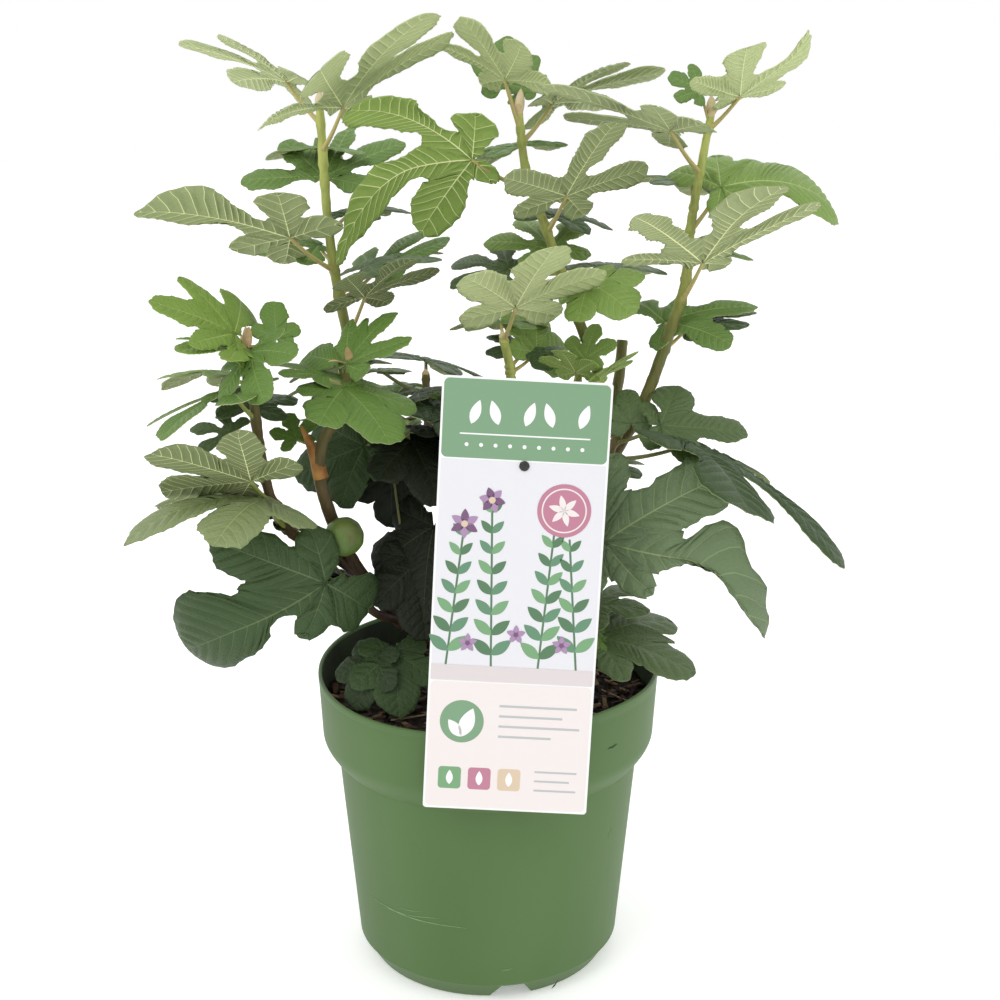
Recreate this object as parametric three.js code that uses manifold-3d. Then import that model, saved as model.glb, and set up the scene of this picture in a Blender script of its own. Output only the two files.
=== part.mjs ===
// A young fig tree in a green nursery pot, with a plain plant card.
// Millimetres, +Z up, the front looks to -Y. Everything is worked out round the pot's axis, with 0 at its
// flat foot, and in the end it is moved level so that the origin lies under the middle of the whole's box.
import * as THREE from "three";
import { mergeVertices } from "three/addons/utils/BufferGeometryUtils.js";
import Module from "manifold-3d";

const wasm = await Module();
wasm.setup();

// ---- Driving sizes -------------------------------------------------------------------------------------

const GAP = 0.3; // clearance between neighbouring solids

const POT = {
  rimRadius: 108.7,
  rimHeight: 191.8,
  rimRise: 0.027, // the rim rises towards the back, as the soft pot has warped,
  rimWarp: 2.3, // and dips by this on both sides along the next heading
  rimWarpHeading: 47,
  collarFoot: 152, // the collar is straight down to here
  collarFootRadius: 106.4,
  shoulderHeight: 140, // a ring on the rounded shoulder, between the collar and the body
  stepHeight: 134, // the shoulder has run into the body here
  stepRadius: 96.3,
  footRadius: 84,
  bandHeight: 12, // a band that narrows to the foot ring the pot stands on
  bandFootRadius: 77,
  wall: 2.4,
  floor: 3,
  recess: 12, // the floor lies this high, inside the foot ring
  footRing: 5,
  drains: 3, // notches cut through the foot ring
  drainHeading: -79,
  drainHeight: 11,
  drainWidth: 27, // at the foot
  drainTopWidth: 14,
  sides: 28,
};
const SOIL = { height: 176, edgeHeight: 172, domeRadius: 60 };
const TRUNK = { x: -8, y: 2, flareRadius: 23, radius: 16, forkHeight: 200, lean: -3 };
const CARD = {
  width: 94,
  height: 248,
  thickness: 1,
  corner: 2,
  footHeight: 144,
  footX: 10.5,
  roll: 3, // degrees: the top leans to +X
  lean: 4.9, // degrees: the top leans back
  rimY: -109.9, // where the card's middle plane crosses the rim's height
  pinUp: 200, // the pin's height on the card, from its lower edge
  pinSide: 0.5,
};
const PIN = { headRadius: 2.9, headDepth: 1.4, shankRadius: 1.4 };
const STICK = { width: 6, depth: 1.8, y: -94.5, foot: 140, top: 351 };
const FIG = { height: 289, heading: -72, rise: 8, stalk: 4, length: 24, radius: 11.6, neckRadius: 2.2 };

// ---- Materials -----------------------------------------------------------------------------------------

const finish = (color, roughness) =>
  new THREE.MeshStandardMaterial({ color, roughness, metalness: 0 });
const POT_GREEN = finish(0x557f4b, 0.45);
const SOIL_BROWN = finish(0x2a211a, 0.95);
const BARK = finish(0x5b4632, 0.85);
const LEAF_GREEN = finish(0x6d9350, 0.6);
const FIG_GREEN = finish(0x7d9a4c, 0.5);
const CARD_WHITE = finish(0xdfe3df, 0.4);
const BLACK = finish(0x1b1b1b, 0.5);

// ---- Solids and meshes ---------------------------------------------------------------------------------

// A closed geometry as a manifold-3d solid.
function solidOf(geometry) {
  const bare = new THREE.BufferGeometry();
  bare.setAttribute("position", geometry.getAttribute("position"));
  if (geometry.index) bare.setIndex(geometry.index);
  const merged = mergeVertices(bare, 1e-3);
  const solid = new wasm.Manifold(
    new wasm.Mesh({
      numProp: 3,
      vertProperties: new Float32Array(merged.attributes.position.array),
      triVerts: new Uint32Array(merged.index.array),
    }),
  );
  if (solid.volume() < 0) throw new Error("a geometry is inside out");
  return solid;
}

// A manifold-3d solid as a geometry with flat faces.
function geometryOf(solid) {
  const made = solid.getMesh();
  const places = new Float32Array(made.numVert * 3);
  for (let i = 0; i < made.numVert; i++) {
    places.set(made.vertProperties.subarray(i * made.numProp, i * made.numProp + 3), i * 3);
  }
  const geometry = new THREE.BufferGeometry();
  geometry.setAttribute("position", new THREE.BufferAttribute(places, 3));
  geometry.setIndex(new THREE.BufferAttribute(new Uint32Array(made.triVerts), 1));
  geometry.computeVertexNormals();
  return geometry;
}

const union = (solids) => solids.reduce((all, one) => all.add(one));

const plant = new THREE.Group();

function addPiece(name, geometry, material) {
  const mesh = new THREE.Mesh(geometry, material);
  mesh.name = name;
  plant.add(mesh);
  return mesh;
}

// ---- Curves and limbs ----------------------------------------------------------------------------------

const radians = THREE.MathUtils.degToRad;
const vector = (p) => new THREE.Vector3(p[0], p[1], p[2]);

// The direction with this heading (0 is +X, 90 is +Y) and this rise above the level, in degrees.
function direction(heading, rise) {
  const h = radians(heading);
  const r = radians(rise);
  return new THREE.Vector3(Math.cos(r) * Math.cos(h), Math.cos(r) * Math.sin(h), Math.sin(r));
}

const pathThrough = (points) =>
  new THREE.CatmullRomCurve3(points.map(vector), false, "catmullrom", 0.5);

// The place along a rising path, from 0 to 1, at which it reaches a height.
function placeAtHeight(path, height) {
  let low = 0;
  let high = 1;
  for (let step = 0; step < 30; step++) {
    const middle = (low + high) / 2;
    if (path.getPoint(middle).z < height) low = middle;
    else high = middle;
  }
  return (low + high) / 2;
}

// A cylinder's geometry bent along a stretch of a path, with a radius given for each place on the path.
function limbGeometry(path, from, to, radiusAt, sides, steps) {
  const geometry = new THREE.CylinderGeometry(1, 1, 1, sides, steps);
  const position = geometry.attributes.position;
  const chord = path.getPoint(to).sub(path.getPoint(from)).normalize();
  const reference = Math.abs(chord.z) < 0.8 ? new THREE.Vector3(0, 0, 1) : new THREE.Vector3(0, 1, 0);
  for (let i = 0; i < position.count; i++) {
    const place = THREE.MathUtils.lerp(from, to, position.getY(i) + 0.5);
    const along = path.getTangent(place);
    const side = new THREE.Vector3().crossVectors(along, reference).normalize();
    const other = new THREE.Vector3().crossVectors(side, along);
    const radius = radiusAt(place);
    const point = path
      .getPoint(place)
      .addScaledVector(side, radius * position.getX(i))
      .addScaledVector(other, radius * position.getZ(i));
    position.setXYZ(i, point.x, point.y, point.z);
  }
  return geometry;
}

// ---- The pot -------------------------------------------------------------------------------------------

// How far the warped rim lifts a point of the collar.
function rimLift(x, y, z) {
  const share = THREE.MathUtils.clamp((z - POT.collarFoot) / (POT.rimHeight - POT.collarFoot), 0, 1);
  const turn = Math.atan2(y, x) - radians(POT.rimWarpHeading);
  return (POT.rimRise * y - POT.rimWarp * Math.cos(2 * turn)) * share;
}

function warpRim(geometry) {
  const position = geometry.attributes.position;
  for (let i = 0; i < position.count; i++) {
    const [x, y, z] = [position.getX(i), position.getY(i), position.getZ(i)];
    position.setZ(i, z + rimLift(x, y, z));
  }
  return geometry;
}

// A profile of [radius, height] pairs turned about +Z.
function turned(profile, sides) {
  const geometry = new THREE.LatheGeometry(
    profile.map(([radius, height]) => new THREE.Vector2(radius, height)),
    sides,
  );
  return geometry.rotateX(Math.PI / 2);
}

// The outer radius of the pot at a height between its foot and its rim.
function potRadius(height) {
  const { lerp, clamp } = THREE.MathUtils;
  if (height >= POT.collarFoot) {
    const up = (height - POT.collarFoot) / (POT.rimHeight - POT.collarFoot);
    return lerp(POT.collarFootRadius, POT.rimRadius, up);
  }
  if (height >= POT.stepHeight) {
    const up = (height - POT.stepHeight) / (POT.collarFoot - POT.stepHeight);
    return lerp(POT.stepRadius, POT.collarFootRadius, Math.sin((clamp(up, 0, 1) * Math.PI) / 2));
  }
  return lerp(POT.footRadius, POT.stepRadius, height / POT.stepHeight);
}

// One drain notch: a prism with a trapezoid section that runs outwards through the foot ring.
function drainSolid(heading) {
  const { drainHeight, drainWidth, drainTopWidth, bandFootRadius, footRing, stepRadius } = POT;
  const slope = (drainWidth - drainTopWidth) / 2 / drainHeight;
  const section = new THREE.Shape([
    new THREE.Vector2(-drainWidth / 2 - slope, -1),
    new THREE.Vector2(drainWidth / 2 + slope, -1),
    new THREE.Vector2(drainTopWidth / 2, drainHeight),
    new THREE.Vector2(-drainTopWidth / 2, drainHeight),
  ]);
  const inner = bandFootRadius - 4 * footRing;
  const geometry = new THREE.ExtrudeGeometry(section, { depth: stepRadius - inner, bevelEnabled: false });
  geometry.translate(0, 0, inner);
  geometry.rotateX(Math.PI / 2).rotateZ(Math.PI);
  return solidOf(geometry.rotateZ(radians(heading - 90)));
}

function potSolid() {
  const { bandFootRadius, bandHeight, footRing, floor, recess, wall } = POT;
  const heights = [POT.stepHeight, POT.shoulderHeight, POT.collarFoot, POT.rimHeight];
  const outside = [
    [bandFootRadius, 0],
    [potRadius(bandHeight + 1) - 1, bandHeight],
    [potRadius(bandHeight + 1), bandHeight + 1],
  ];
  for (const height of heights) outside.push([potRadius(height), height]);
  const inside = [...heights].reverse().map((height) => [potRadius(height) - wall, height]);
  inside.push([potRadius(recess + floor) - wall, recess + floor], [0, recess + floor]);
  const underside = [
    [0, recess],
    [bandFootRadius - footRing + 6, recess],
    [bandFootRadius - footRing, 0],
  ];
  const body = solidOf(warpRim(turned([...underside, ...outside, ...inside], POT.sides)));
  const cuts = [];
  for (let i = 0; i < POT.drains; i++) cuts.push(drainSolid(POT.drainHeading + (i * 360) / POT.drains));
  return body.subtract(union(cuts));
}

// The root ball and soil that fill the pot, with a low dome at the top and a slot for the card's stick.
function soilSolid(slot) {
  const clear = POT.wall + 2 * GAP;
  const bottom = POT.recess + POT.floor + GAP;
  const profile = [[0, bottom]];
  const walls = [bottom, POT.stepHeight, POT.shoulderHeight, POT.collarFoot, SOIL.edgeHeight - 4];
  for (const height of walls) {
    profile.push([potRadius(height) - clear, height]);
  }
  profile.push([SOIL.domeRadius, SOIL.height - 1], [TRUNK.flareRadius + 12, SOIL.height], [0, SOIL.height]);
  return solidOf(turned(profile, POT.sides)).subtract(slot);
}

// ---- The trunk, the boughs and the twigs that carry the leaves -----------------------------------------

// Each limb leaves its parent's middle line at a height and runs on through its points. Up to the height at
// which it enters its mass of leaves it is a bough of its own; from there on it is the mass's stem. One that
// enters at once is only such a stem.
const LIMBS = {
  left_tall: {
    parent: "trunk", leaves_at: 192, foot: 5.4, tip: 2.4, enters: 388,
    line: [[-34, 8, 240], [-56, 12, 300], [-74, 17, 345], [-88, 21, 405], [-97, 23, 465], [-101, 25, 543]],
  },
  left_low: {
    parent: "trunk", leaves_at: 190, foot: 5.6, tip: 2.6, enters: 338,
    line: [[-42, -10, 214], [-62, -20, 235], [-84, -36, 275], [-97, -47, 318], [-96, -51, 345],
      [-84, -50, 368], [-78, -50, 394]],
  },
  centre: {
    parent: "trunk", leaves_at: 194, foot: 5.2, tip: 2.3, enters: 402,
    line: [[16, 22, 240], [50, 36, 310], [70, 40, 366], [64, 38, 392], [52, 35, 421], [38, 30, 461],
      [24, 27, 500], [18, 25, 547]],
  },
  right: {
    parent: "trunk", leaves_at: 192, foot: 5.2, tip: 2.2, enters: 346,
    line: [[42, 8, 250], [78, 14, 322], [96, 16, 354], [112, 18, 398], [122, 18, 432], [124, 18, 465],
      [129, 16, 501], [136, 15, 545]],
  },
  centre_low: {
    parent: "trunk", leaves_at: 194, foot: 4.6, tip: 2.2, enters: 366,
    line: [[6, -8, 245], [16, 2, 320], [15, 7, 374], [11, 6, 396], [6, 5, 416]],
  },
  back_left: {
    parent: "trunk", leaves_at: 192, foot: 4.8, tip: 2.4, enters: 285,
    line: [[-18, 36, 235], [-32, 62, 285], [-40, 76, 330], [-42, 84, 372]],
  },
  left_side: {
    parent: "left_low", leaves_at: 262, foot: 4, tip: 2.4, enters: 286,
    line: [[-97, -40, 278], [-117, -52, 294], [-126, -58, 315], [-131, -64, 356], [-134, -68, 408]],
  },
  right_low: {
    parent: "right", leaves_at: 232, foot: 4.4, tip: 2.4, enters: 292,
    line: [[46, -6, 262], [64, -6, 300], [76, 0, 330], [86, 4, 348]],
  },
  centre_side: {
    parent: "centre", leaves_at: 300, foot: 3.8, tip: 2, enters: 338,
    line: [[50, 24, 325], [54, 14, 355], [58, 10, 388]],
  },
  back_right: {
    parent: "centre", leaves_at: 228, foot: 4.2, tip: 2.4, enters: 285,
    line: [[24, 52, 260], [40, 74, 300], [48, 84, 345], [50, 88, 366]],
  },
  cut_stub: {
    parent: "right", leaves_at: 300, foot: 4, tip: 3.4,
    line: [[74, 30, 330], [84, 46, 365], [87, 52, 393]],
  },
  inner_left: {
    parent: "left_tall", leaves_at: 296, foot: 3, tip: 2, enters: 0,
    line: [[-58, -4, 318], [-58, -14, 345], [-56, -20, 372]],
  },
  low_left: {
    parent: "left_low", leaves_at: 226, foot: 3, tip: 2, enters: 0,
    line: [[-68, -38, 238], [-78, -46, 254], [-84, -52, 266]],
  },
  foot_front: {
    parent: "trunk", leaves_at: 184, foot: 3, tip: 2, enters: 0,
    line: [[-30, -22, 196], [-40, -26, 214], [-42, -28, 240]],
  },
  inner_low: {
    parent: "left_tall", leaves_at: 236, foot: 3, tip: 2, enters: 0,
    line: [[-42, -2, 248], [-50, -10, 268], [-54, -16, 290]],
  },
  foot_right: {
    parent: "trunk", leaves_at: 184, foot: 3, tip: 2, enters: 0,
    line: [[24, -20, 196], [38, -26, 212], [44, -28, 232]],
  },
};

// ---- The leaves ----------------------------------------------------------------------------------------

// A leaf lies in its own plane with its junction, where stalk and ribs meet, at 0, and its middle lobe along
// +y. Each lobe has its angle from the middle one, its length, its half width and where along it is widest.
// Its bow swings its tip to the right, and its skew makes its right half wider than its left, as shares. A
// notch lies between two lobes, at its distance from the junction; the foot's are beside the stalk.
const lobe = (angle, length, halfWidth, widest, bow = 0, skew = 0) => {
  return { angle, length, halfWidth, widest, bow, skew };
};

// An even leaf, from its middle lobe, the next and the last, and the notches after the first two.
function evenForm(middle, next, last, [inner, outer], foot) {
  const mirrored = (one) => ({ ...one, angle: -one.angle });
  return {
    lobes: [mirrored(last), mirrored(next), middle, next, last],
    notches: [outer, inner, inner, outer],
    foot,
  };
}

const FORMS = {
  deep: evenForm(lobe(0, 1, 0.21, 0.68), lobe(50, 0.88, 0.18, 0.68), lobe(108, 0.5, 0.145, 0.64),
    [0.3, 0.27], 0.1),
  mid: evenForm(lobe(0, 1, 0.25, 0.62), lobe(50, 0.84, 0.21, 0.62), lobe(108, 0.52, 0.17, 0.6),
    [0.44, 0.36], 0.12),
  broad: evenForm(lobe(0, 1, 0.33, 0.6), lobe(50, 0.82, 0.26, 0.6), lobe(108, 0.52, 0.2, 0.58),
    [0.62, 0.46], 0.16),
  oval: evenForm(lobe(0, 1, 0.34, 0.52), lobe(62, 0.6, 0.2, 0.6), lobe(115, 0.42, 0.16, 0.6),
    [0.54, 0.4], 0.14),
  // The leaves that stand out most have forms of their own, with their lobes from left to right.
  high_wing: {
    lobes: [
      lobe(-100, 0.3, 0.12, 0.6), lobe(-30, 0.9, 0.15, 0.75),
      lobe(8, 1.06, 0.2, 0.6),
      lobe(57, 1, 0.2, 0.7), lobe(86, 1.1, 0.11, 0.65),
    ],
    notches: [0.2, 0.49, 0.3, 0.35],
    foot: 0.1,
  },
  high_hand: {
    lobes: [
      lobe(-110, 0.42, 0.15, 0.65), lobe(-60, 1.04, 0.19, 0.72),
      lobe(-5, 1.03, 0.16, 0.65, 0.45),
      lobe(44, 0.67, 0.17, 0.52), lobe(112, 0.22, 0.1, 0.6),
    ],
    notches: [0.25, 0.33, 0.34, 0.18],
    foot: 0.1,
  },
  left_wing: {
    lobes: [
      lobe(-120, 0.36, 0.12, 0.6), lobe(-55, 0.52, 0.17, 0.7),
      lobe(-2, 1, 0.19, 0.74, 0.05, -0.35),
      lobe(54, 0.42, 0.13, 0.6), lobe(112, 0.35, 0.12, 0.6),
    ],
    notches: [0.24, 0.25, 0.26, 0.2],
    foot: 0.1,
  },
  left_back: {
    lobes: [
      lobe(-92, 0.9, 0.2, 0.7), lobe(-46, 0.88, 0.16, 0.6),
      lobe(2, 1, 0.12, 0.5),
      lobe(50, 0.95, 0.2, 0.62), lobe(106, 0.5, 0.15, 0.6),
    ],
    notches: [0.38, 0.72, 0.32, 0.3],
    foot: 0.1,
  },
  right_blade: {
    lobes: [
      lobe(-100, 0.46, 0.13, 0.6), lobe(-54, 0.5, 0.12, 0.6),
      lobe(-4, 1, 0.2, 0.7, 0, -0.35),
      lobe(48, 0.86, 0.17, 0.66), lobe(110, 0.48, 0.14, 0.62),
    ],
    notches: [0.3, 0.36, 0.3, 0.27],
    foot: 0.1,
  },
  right_wing: {
    lobes: [
      lobe(-95, 0.28, 0.11, 0.6), lobe(-28, 0.9, 0.14, 0.65, 0.05),
      lobe(12, 1.03, 0.22, 0.76, -0.12, 0.5),
      lobe(60, 1.4, 0.1, 0.5), lobe(86, 0.74, 0.09, 0.6),
    ],
    notches: [0.24, 0.44, 0.38, 0.5],
    foot: 0.1,
  },
  cross: {
    lobes: [
      lobe(-122, 0.4, 0.13, 0.6), lobe(-55, 0.8, 0.17, 0.66),
      lobe(4, 1, 0.19, 0.66),
      lobe(80, 0.78, 0.15, 0.6), lobe(122, 0.5, 0.13, 0.6),
    ],
    notches: [0.24, 0.27, 0.27, 0.32],
    foot: 0.1,
  },
  right_crest: {
    lobes: [
      lobe(-116, 0.74, 0.13, 0.62), lobe(-64, 1, 0.2, 0.7, 0.38, -0.6),
      lobe(8, 1.16, 0.25, 0.84),
      lobe(42, 1.08, 0.14, 0.7), lobe(100, 0.35, 0.12, 0.6),
    ],
    notches: [0.62, 0.38, 0.7, 0.35],
    foot: 0.1,
  },
  right_roof: {
    lobes: [
      lobe(-124, 0.56, 0.13, 0.6), lobe(-80, 0.5, 0.11, 0.6),
      lobe(-2, 1.15, 0.34, 0.68, 0, -0.05),
      lobe(58, 0.34, 0.11, 0.6), lobe(112, 0.28, 0.1, 0.6),
    ],
    notches: [0.28, 0.45, 0.34, 0.2],
    foot: 0.1,
  },
  low_hook: {
    lobes: [
      lobe(-112, 0.44, 0.13, 0.6), lobe(-54, 0.76, 0.15, 0.64),
      lobe(-10, 0.86, 0.185, 0.78, 0.67, -0.9),
      lobe(27, 0.35, 0.1, 0.62), lobe(94, 0.25, 0.1, 0.6),
    ],
    notches: [0.3, 0.41, 0.31, 0.2],
    foot: 0.1,
  },
  low_ear: {
    lobes: [
      lobe(-125, 0.3, 0.07, 0.6), lobe(-72, 0.68, 0.24, 0.62),
      lobe(-3, 1, 0.22, 0.7),
      lobe(50, 0.66, 0.18, 0.6), lobe(110, 0.4, 0.14, 0.6),
    ],
    notches: [0.2, 0.46, 0.44, 0.3],
    foot: 0.12,
  },
  low_strap: {
    lobes: [
      lobe(-104, 0.35, 0.12, 0.6), lobe(-42, 0.5, 0.14, 0.6),
      lobe(0, 1, 0.19, 0.78),
      lobe(46, 0.86, 0.2, 0.66), lobe(104, 0.4, 0.14, 0.6),
    ],
    notches: [0.25, 0.32, 0.4, 0.3],
    foot: 0.12,
  },
  low_paw: {
    lobes: [
      lobe(-112, 0.45, 0.2, 0.6), lobe(-36, 0.36, 0.11, 0.65),
      lobe(8, 1.15, 0.36, 0.7, -0.15, 0.1),
      lobe(60, 0.78, 0.16, 0.58), lobe(114, 0.36, 0.14, 0.6),
    ],
    notches: [0.3, 0.27, 0.53, 0.3],
    foot: 0.14,
  },
  comb: {
    lobes: [
      lobe(-92, 0.5, 0.15, 0.6), lobe(-42, 0.76, 0.13, 0.6),
      lobe(-4, 0.97, 0.2, 0.62),
      lobe(48, 0.78, 0.17, 0.65), lobe(110, 1.05, 0.26, 0.65),
    ],
    notches: [0.3, 0.5, 0.55, 0.42],
    foot: 0.12,
  },
  crown_hand: {
    lobes: [
      lobe(-84, 0.85, 0.24, 0.62), lobe(-34, 0.95, 0.14, 0.6),
      lobe(0, 1.02, 0.14, 0.6),
      lobe(50, 0.85, 0.15, 0.6), lobe(104, 0.42, 0.15, 0.6),
    ],
    notches: [0.48, 0.86, 0.4, 0.3],
    foot: 0.1,
  },
  centre_crest: {
    lobes: [
      lobe(-104, 0.8, 0.16, 0.7), lobe(-62, 0.95, 0.2, 0.7),
      lobe(-8, 1, 0.24, 0.7),
      lobe(37, 0.97, 0.12, 0.6), lobe(86, 0.45, 0.14, 0.6),
    ],
    notches: [0.6, 0.45, 0.4, 0.3],
    foot: 0.1,
  },
  right_span: {
    lobes: [
      lobe(-116, 1, 0.15, 0.6), lobe(-60, 0.5, 0.16, 0.6),
      lobe(-6, 1.2, 0.2, 0.6),
      lobe(36, 1, 0.2, 0.7), lobe(108, 0.5, 0.15, 0.6),
    ],
    notches: [0.35, 0.4, 0.62, 0.35],
    foot: 0.12,
  },
  foot_roof: {
    lobes: [
      lobe(-92, 1, 0.24, 0.7), lobe(-46, 1.05, 0.26, 0.65),
      lobe(6, 1.08, 0.28, 0.62),
      lobe(52, 0.7, 0.17, 0.6), lobe(108, 0.45, 0.15, 0.6),
    ],
    notches: [0.8, 0.85, 0.62, 0.35],
    foot: 0.14,
  },
};
const LAST_NOTCH_TURN = 52; // degrees from an end lobe's axis to the notch at the stalk
const LEAF_THICKNESS = 0.028; // of the leaf's length, at its ribs
const LEAST_THICKNESS = 2;
const CUP = 0.06; // how steeply the blade's two halves rise from the middle rib

const unit = (degrees) => new THREE.Vector2(Math.sin(radians(degrees)), Math.cos(radians(degrees)));

// The notch on one side of a lobe, -1 for its left and 1 for its right.
function notchBeside(form, index, side) {
  const { lobes, notches, foot } = FORMS[form];
  const { angle } = lobes[index];
  const next = lobes[index + side];
  if (!next) return unit(angle + side * LAST_NOTCH_TURN).multiplyScalar(foot);
  return unit((angle + next.angle) / 2).multiplyScalar(notches[Math.min(index, index + side)]);
}

// Moves a lobe's place sideways by its bow, more and more beyond its notches.
function swung(form, index, place) {
  const { angle, length, bow } = FORMS[form].lobes[index];
  const held = Math.max(...[-1, 1].map((side) => notchBeside(form, index, side).length()));
  const share = Math.max(0, (place.dot(unit(angle)) - held) / (length - held));
  return place.clone().addScaledVector(unit(angle + 90), bow * length * share * share);
}

// The margin of one side of a lobe: the notch, the widest place, the shoulder on the curve on, the tip.
function lobeMargin(form, index, side) {
  const { angle, length, halfWidth, widest, skew } = FORMS[form].lobes[index];
  const axis = unit(angle);
  const across = unit(angle + 90).multiplyScalar(side);
  const out = halfWidth * (1 + side * skew);
  const wide = axis.clone().multiplyScalar(length * widest).addScaledVector(across, out);
  const tip = axis.clone().multiplyScalar(length);
  const end = tip.distanceTo(wide);
  const close = new THREE.CubicBezierCurve(
    wide,
    wide.clone().addScaledVector(axis, end * 0.42),
    tip.clone().addScaledVector(across, out * 0.5).addScaledVector(axis, -0.02),
    tip,
  );
  const [w, h, t] = [wide, close.getPoint(0.5), tip].map((place) => swung(form, index, place));
  return { notch: notchBeside(form, index, side), wide: w, shoulder: h, tip: t };
}

// A flat leaf place, in lengths of the leaf, on the bent blade: it droops by an even curve out from the
// junction, and its halves rise from the middle rib.
function bentPlace(flat, lift, length, droop) {
  const x = flat.x * length;
  const y = flat.y * length;
  const reach = Math.hypot(x, y);
  const bend = radians(droop) / length;
  const turn = bend * reach;
  const share = Math.abs(turn) > 1e-6 ? Math.sin(turn) / turn : 1;
  const drop = Math.abs(turn) > 1e-6 ? (1 - Math.cos(turn)) / bend : 0;
  return new THREE.Vector3(x * share, y * share, lift - drop + CUP * Math.abs(x));
}

// The closed blade: top and underside share the margin and stand apart at the ribs.
function bladeGeometry(form, length, droop, place) {
  const thickness = Math.max(LEAST_THICKNESS, LEAF_THICKNESS * length);
  const places = [];
  const triangle = (a, b, c) => places.push(...a, ...b, ...c);
  const at = (flat, lift) => place(bentPlace(flat, lift, length, droop)).toArray();
  const { lobes } = FORMS[form];
  const centre = new THREE.Vector2();
  lobes.forEach(({ angle, length: reach, widest }, index) => {
    const last = index === 0 || index === lobes.length - 1;
    const rib = swung(form, index, unit(angle).multiplyScalar(reach * widest));
    for (const side of [-1, 1]) {
      const { notch, wide, shoulder, tip } = lobeMargin(form, index, side);
      const [s, w, h, t] = [notch, wide, shoulder, tip].map((flat) => at(flat, 0));
      for (const top of [1, -1]) {
        const [o, r] = [centre, rib].map((flat) => at(flat, (top * thickness) / 2));
        const fan = last ? [[o, w, s], [o, t, w]] : [[o, w, s], [o, r, w], [r, h, w], [r, t, h]];
        for (const [a, b, c] of fan) {
          if (side * top < 0) triangle(a, b, c);
          else triangle(a, c, b);
        }
      }
      if (!lobes[index + side]) {
        const ends = [thickness / 2, -thickness / 2].map((lift) => at(centre, lift));
        if (side < 0) ends.reverse();
        triangle(s, ...ends);
      }
    }
  });
  const geometry = new THREE.BufferGeometry();
  geometry.setAttribute("position", new THREE.Float32BufferAttribute(places, 3));
  return geometry;
}

// The axes of a blade whose middle lobe has this heading and rise, turned by roll about that lobe.
function bladeFrame(aim, pitch, roll) {
  const along = direction(aim, pitch);
  const level = new THREE.Vector3().crossVectors(along, new THREE.Vector3(0, 0, 1)).normalize();
  const right = level.applyAxisAngle(along, -radians(roll));
  const up = new THREE.Vector3().crossVectors(right, along);
  return new THREE.Matrix4().makeBasis(right, along, up);
}

// ---- The masses of leaves ------------------------------------------------------------------------------

// One row for each leaf that was placed by eye: its form, the height at which its stalk leaves the stem, the
// stalk's heading, rise and length, the heading, rise and roll of the blade, its length and its droop.
const LEAF_COLUMNS = ["form", "height", "turn", "rise", "stalk", "aim", "pitch", "roll", "length", "droop"];

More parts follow.
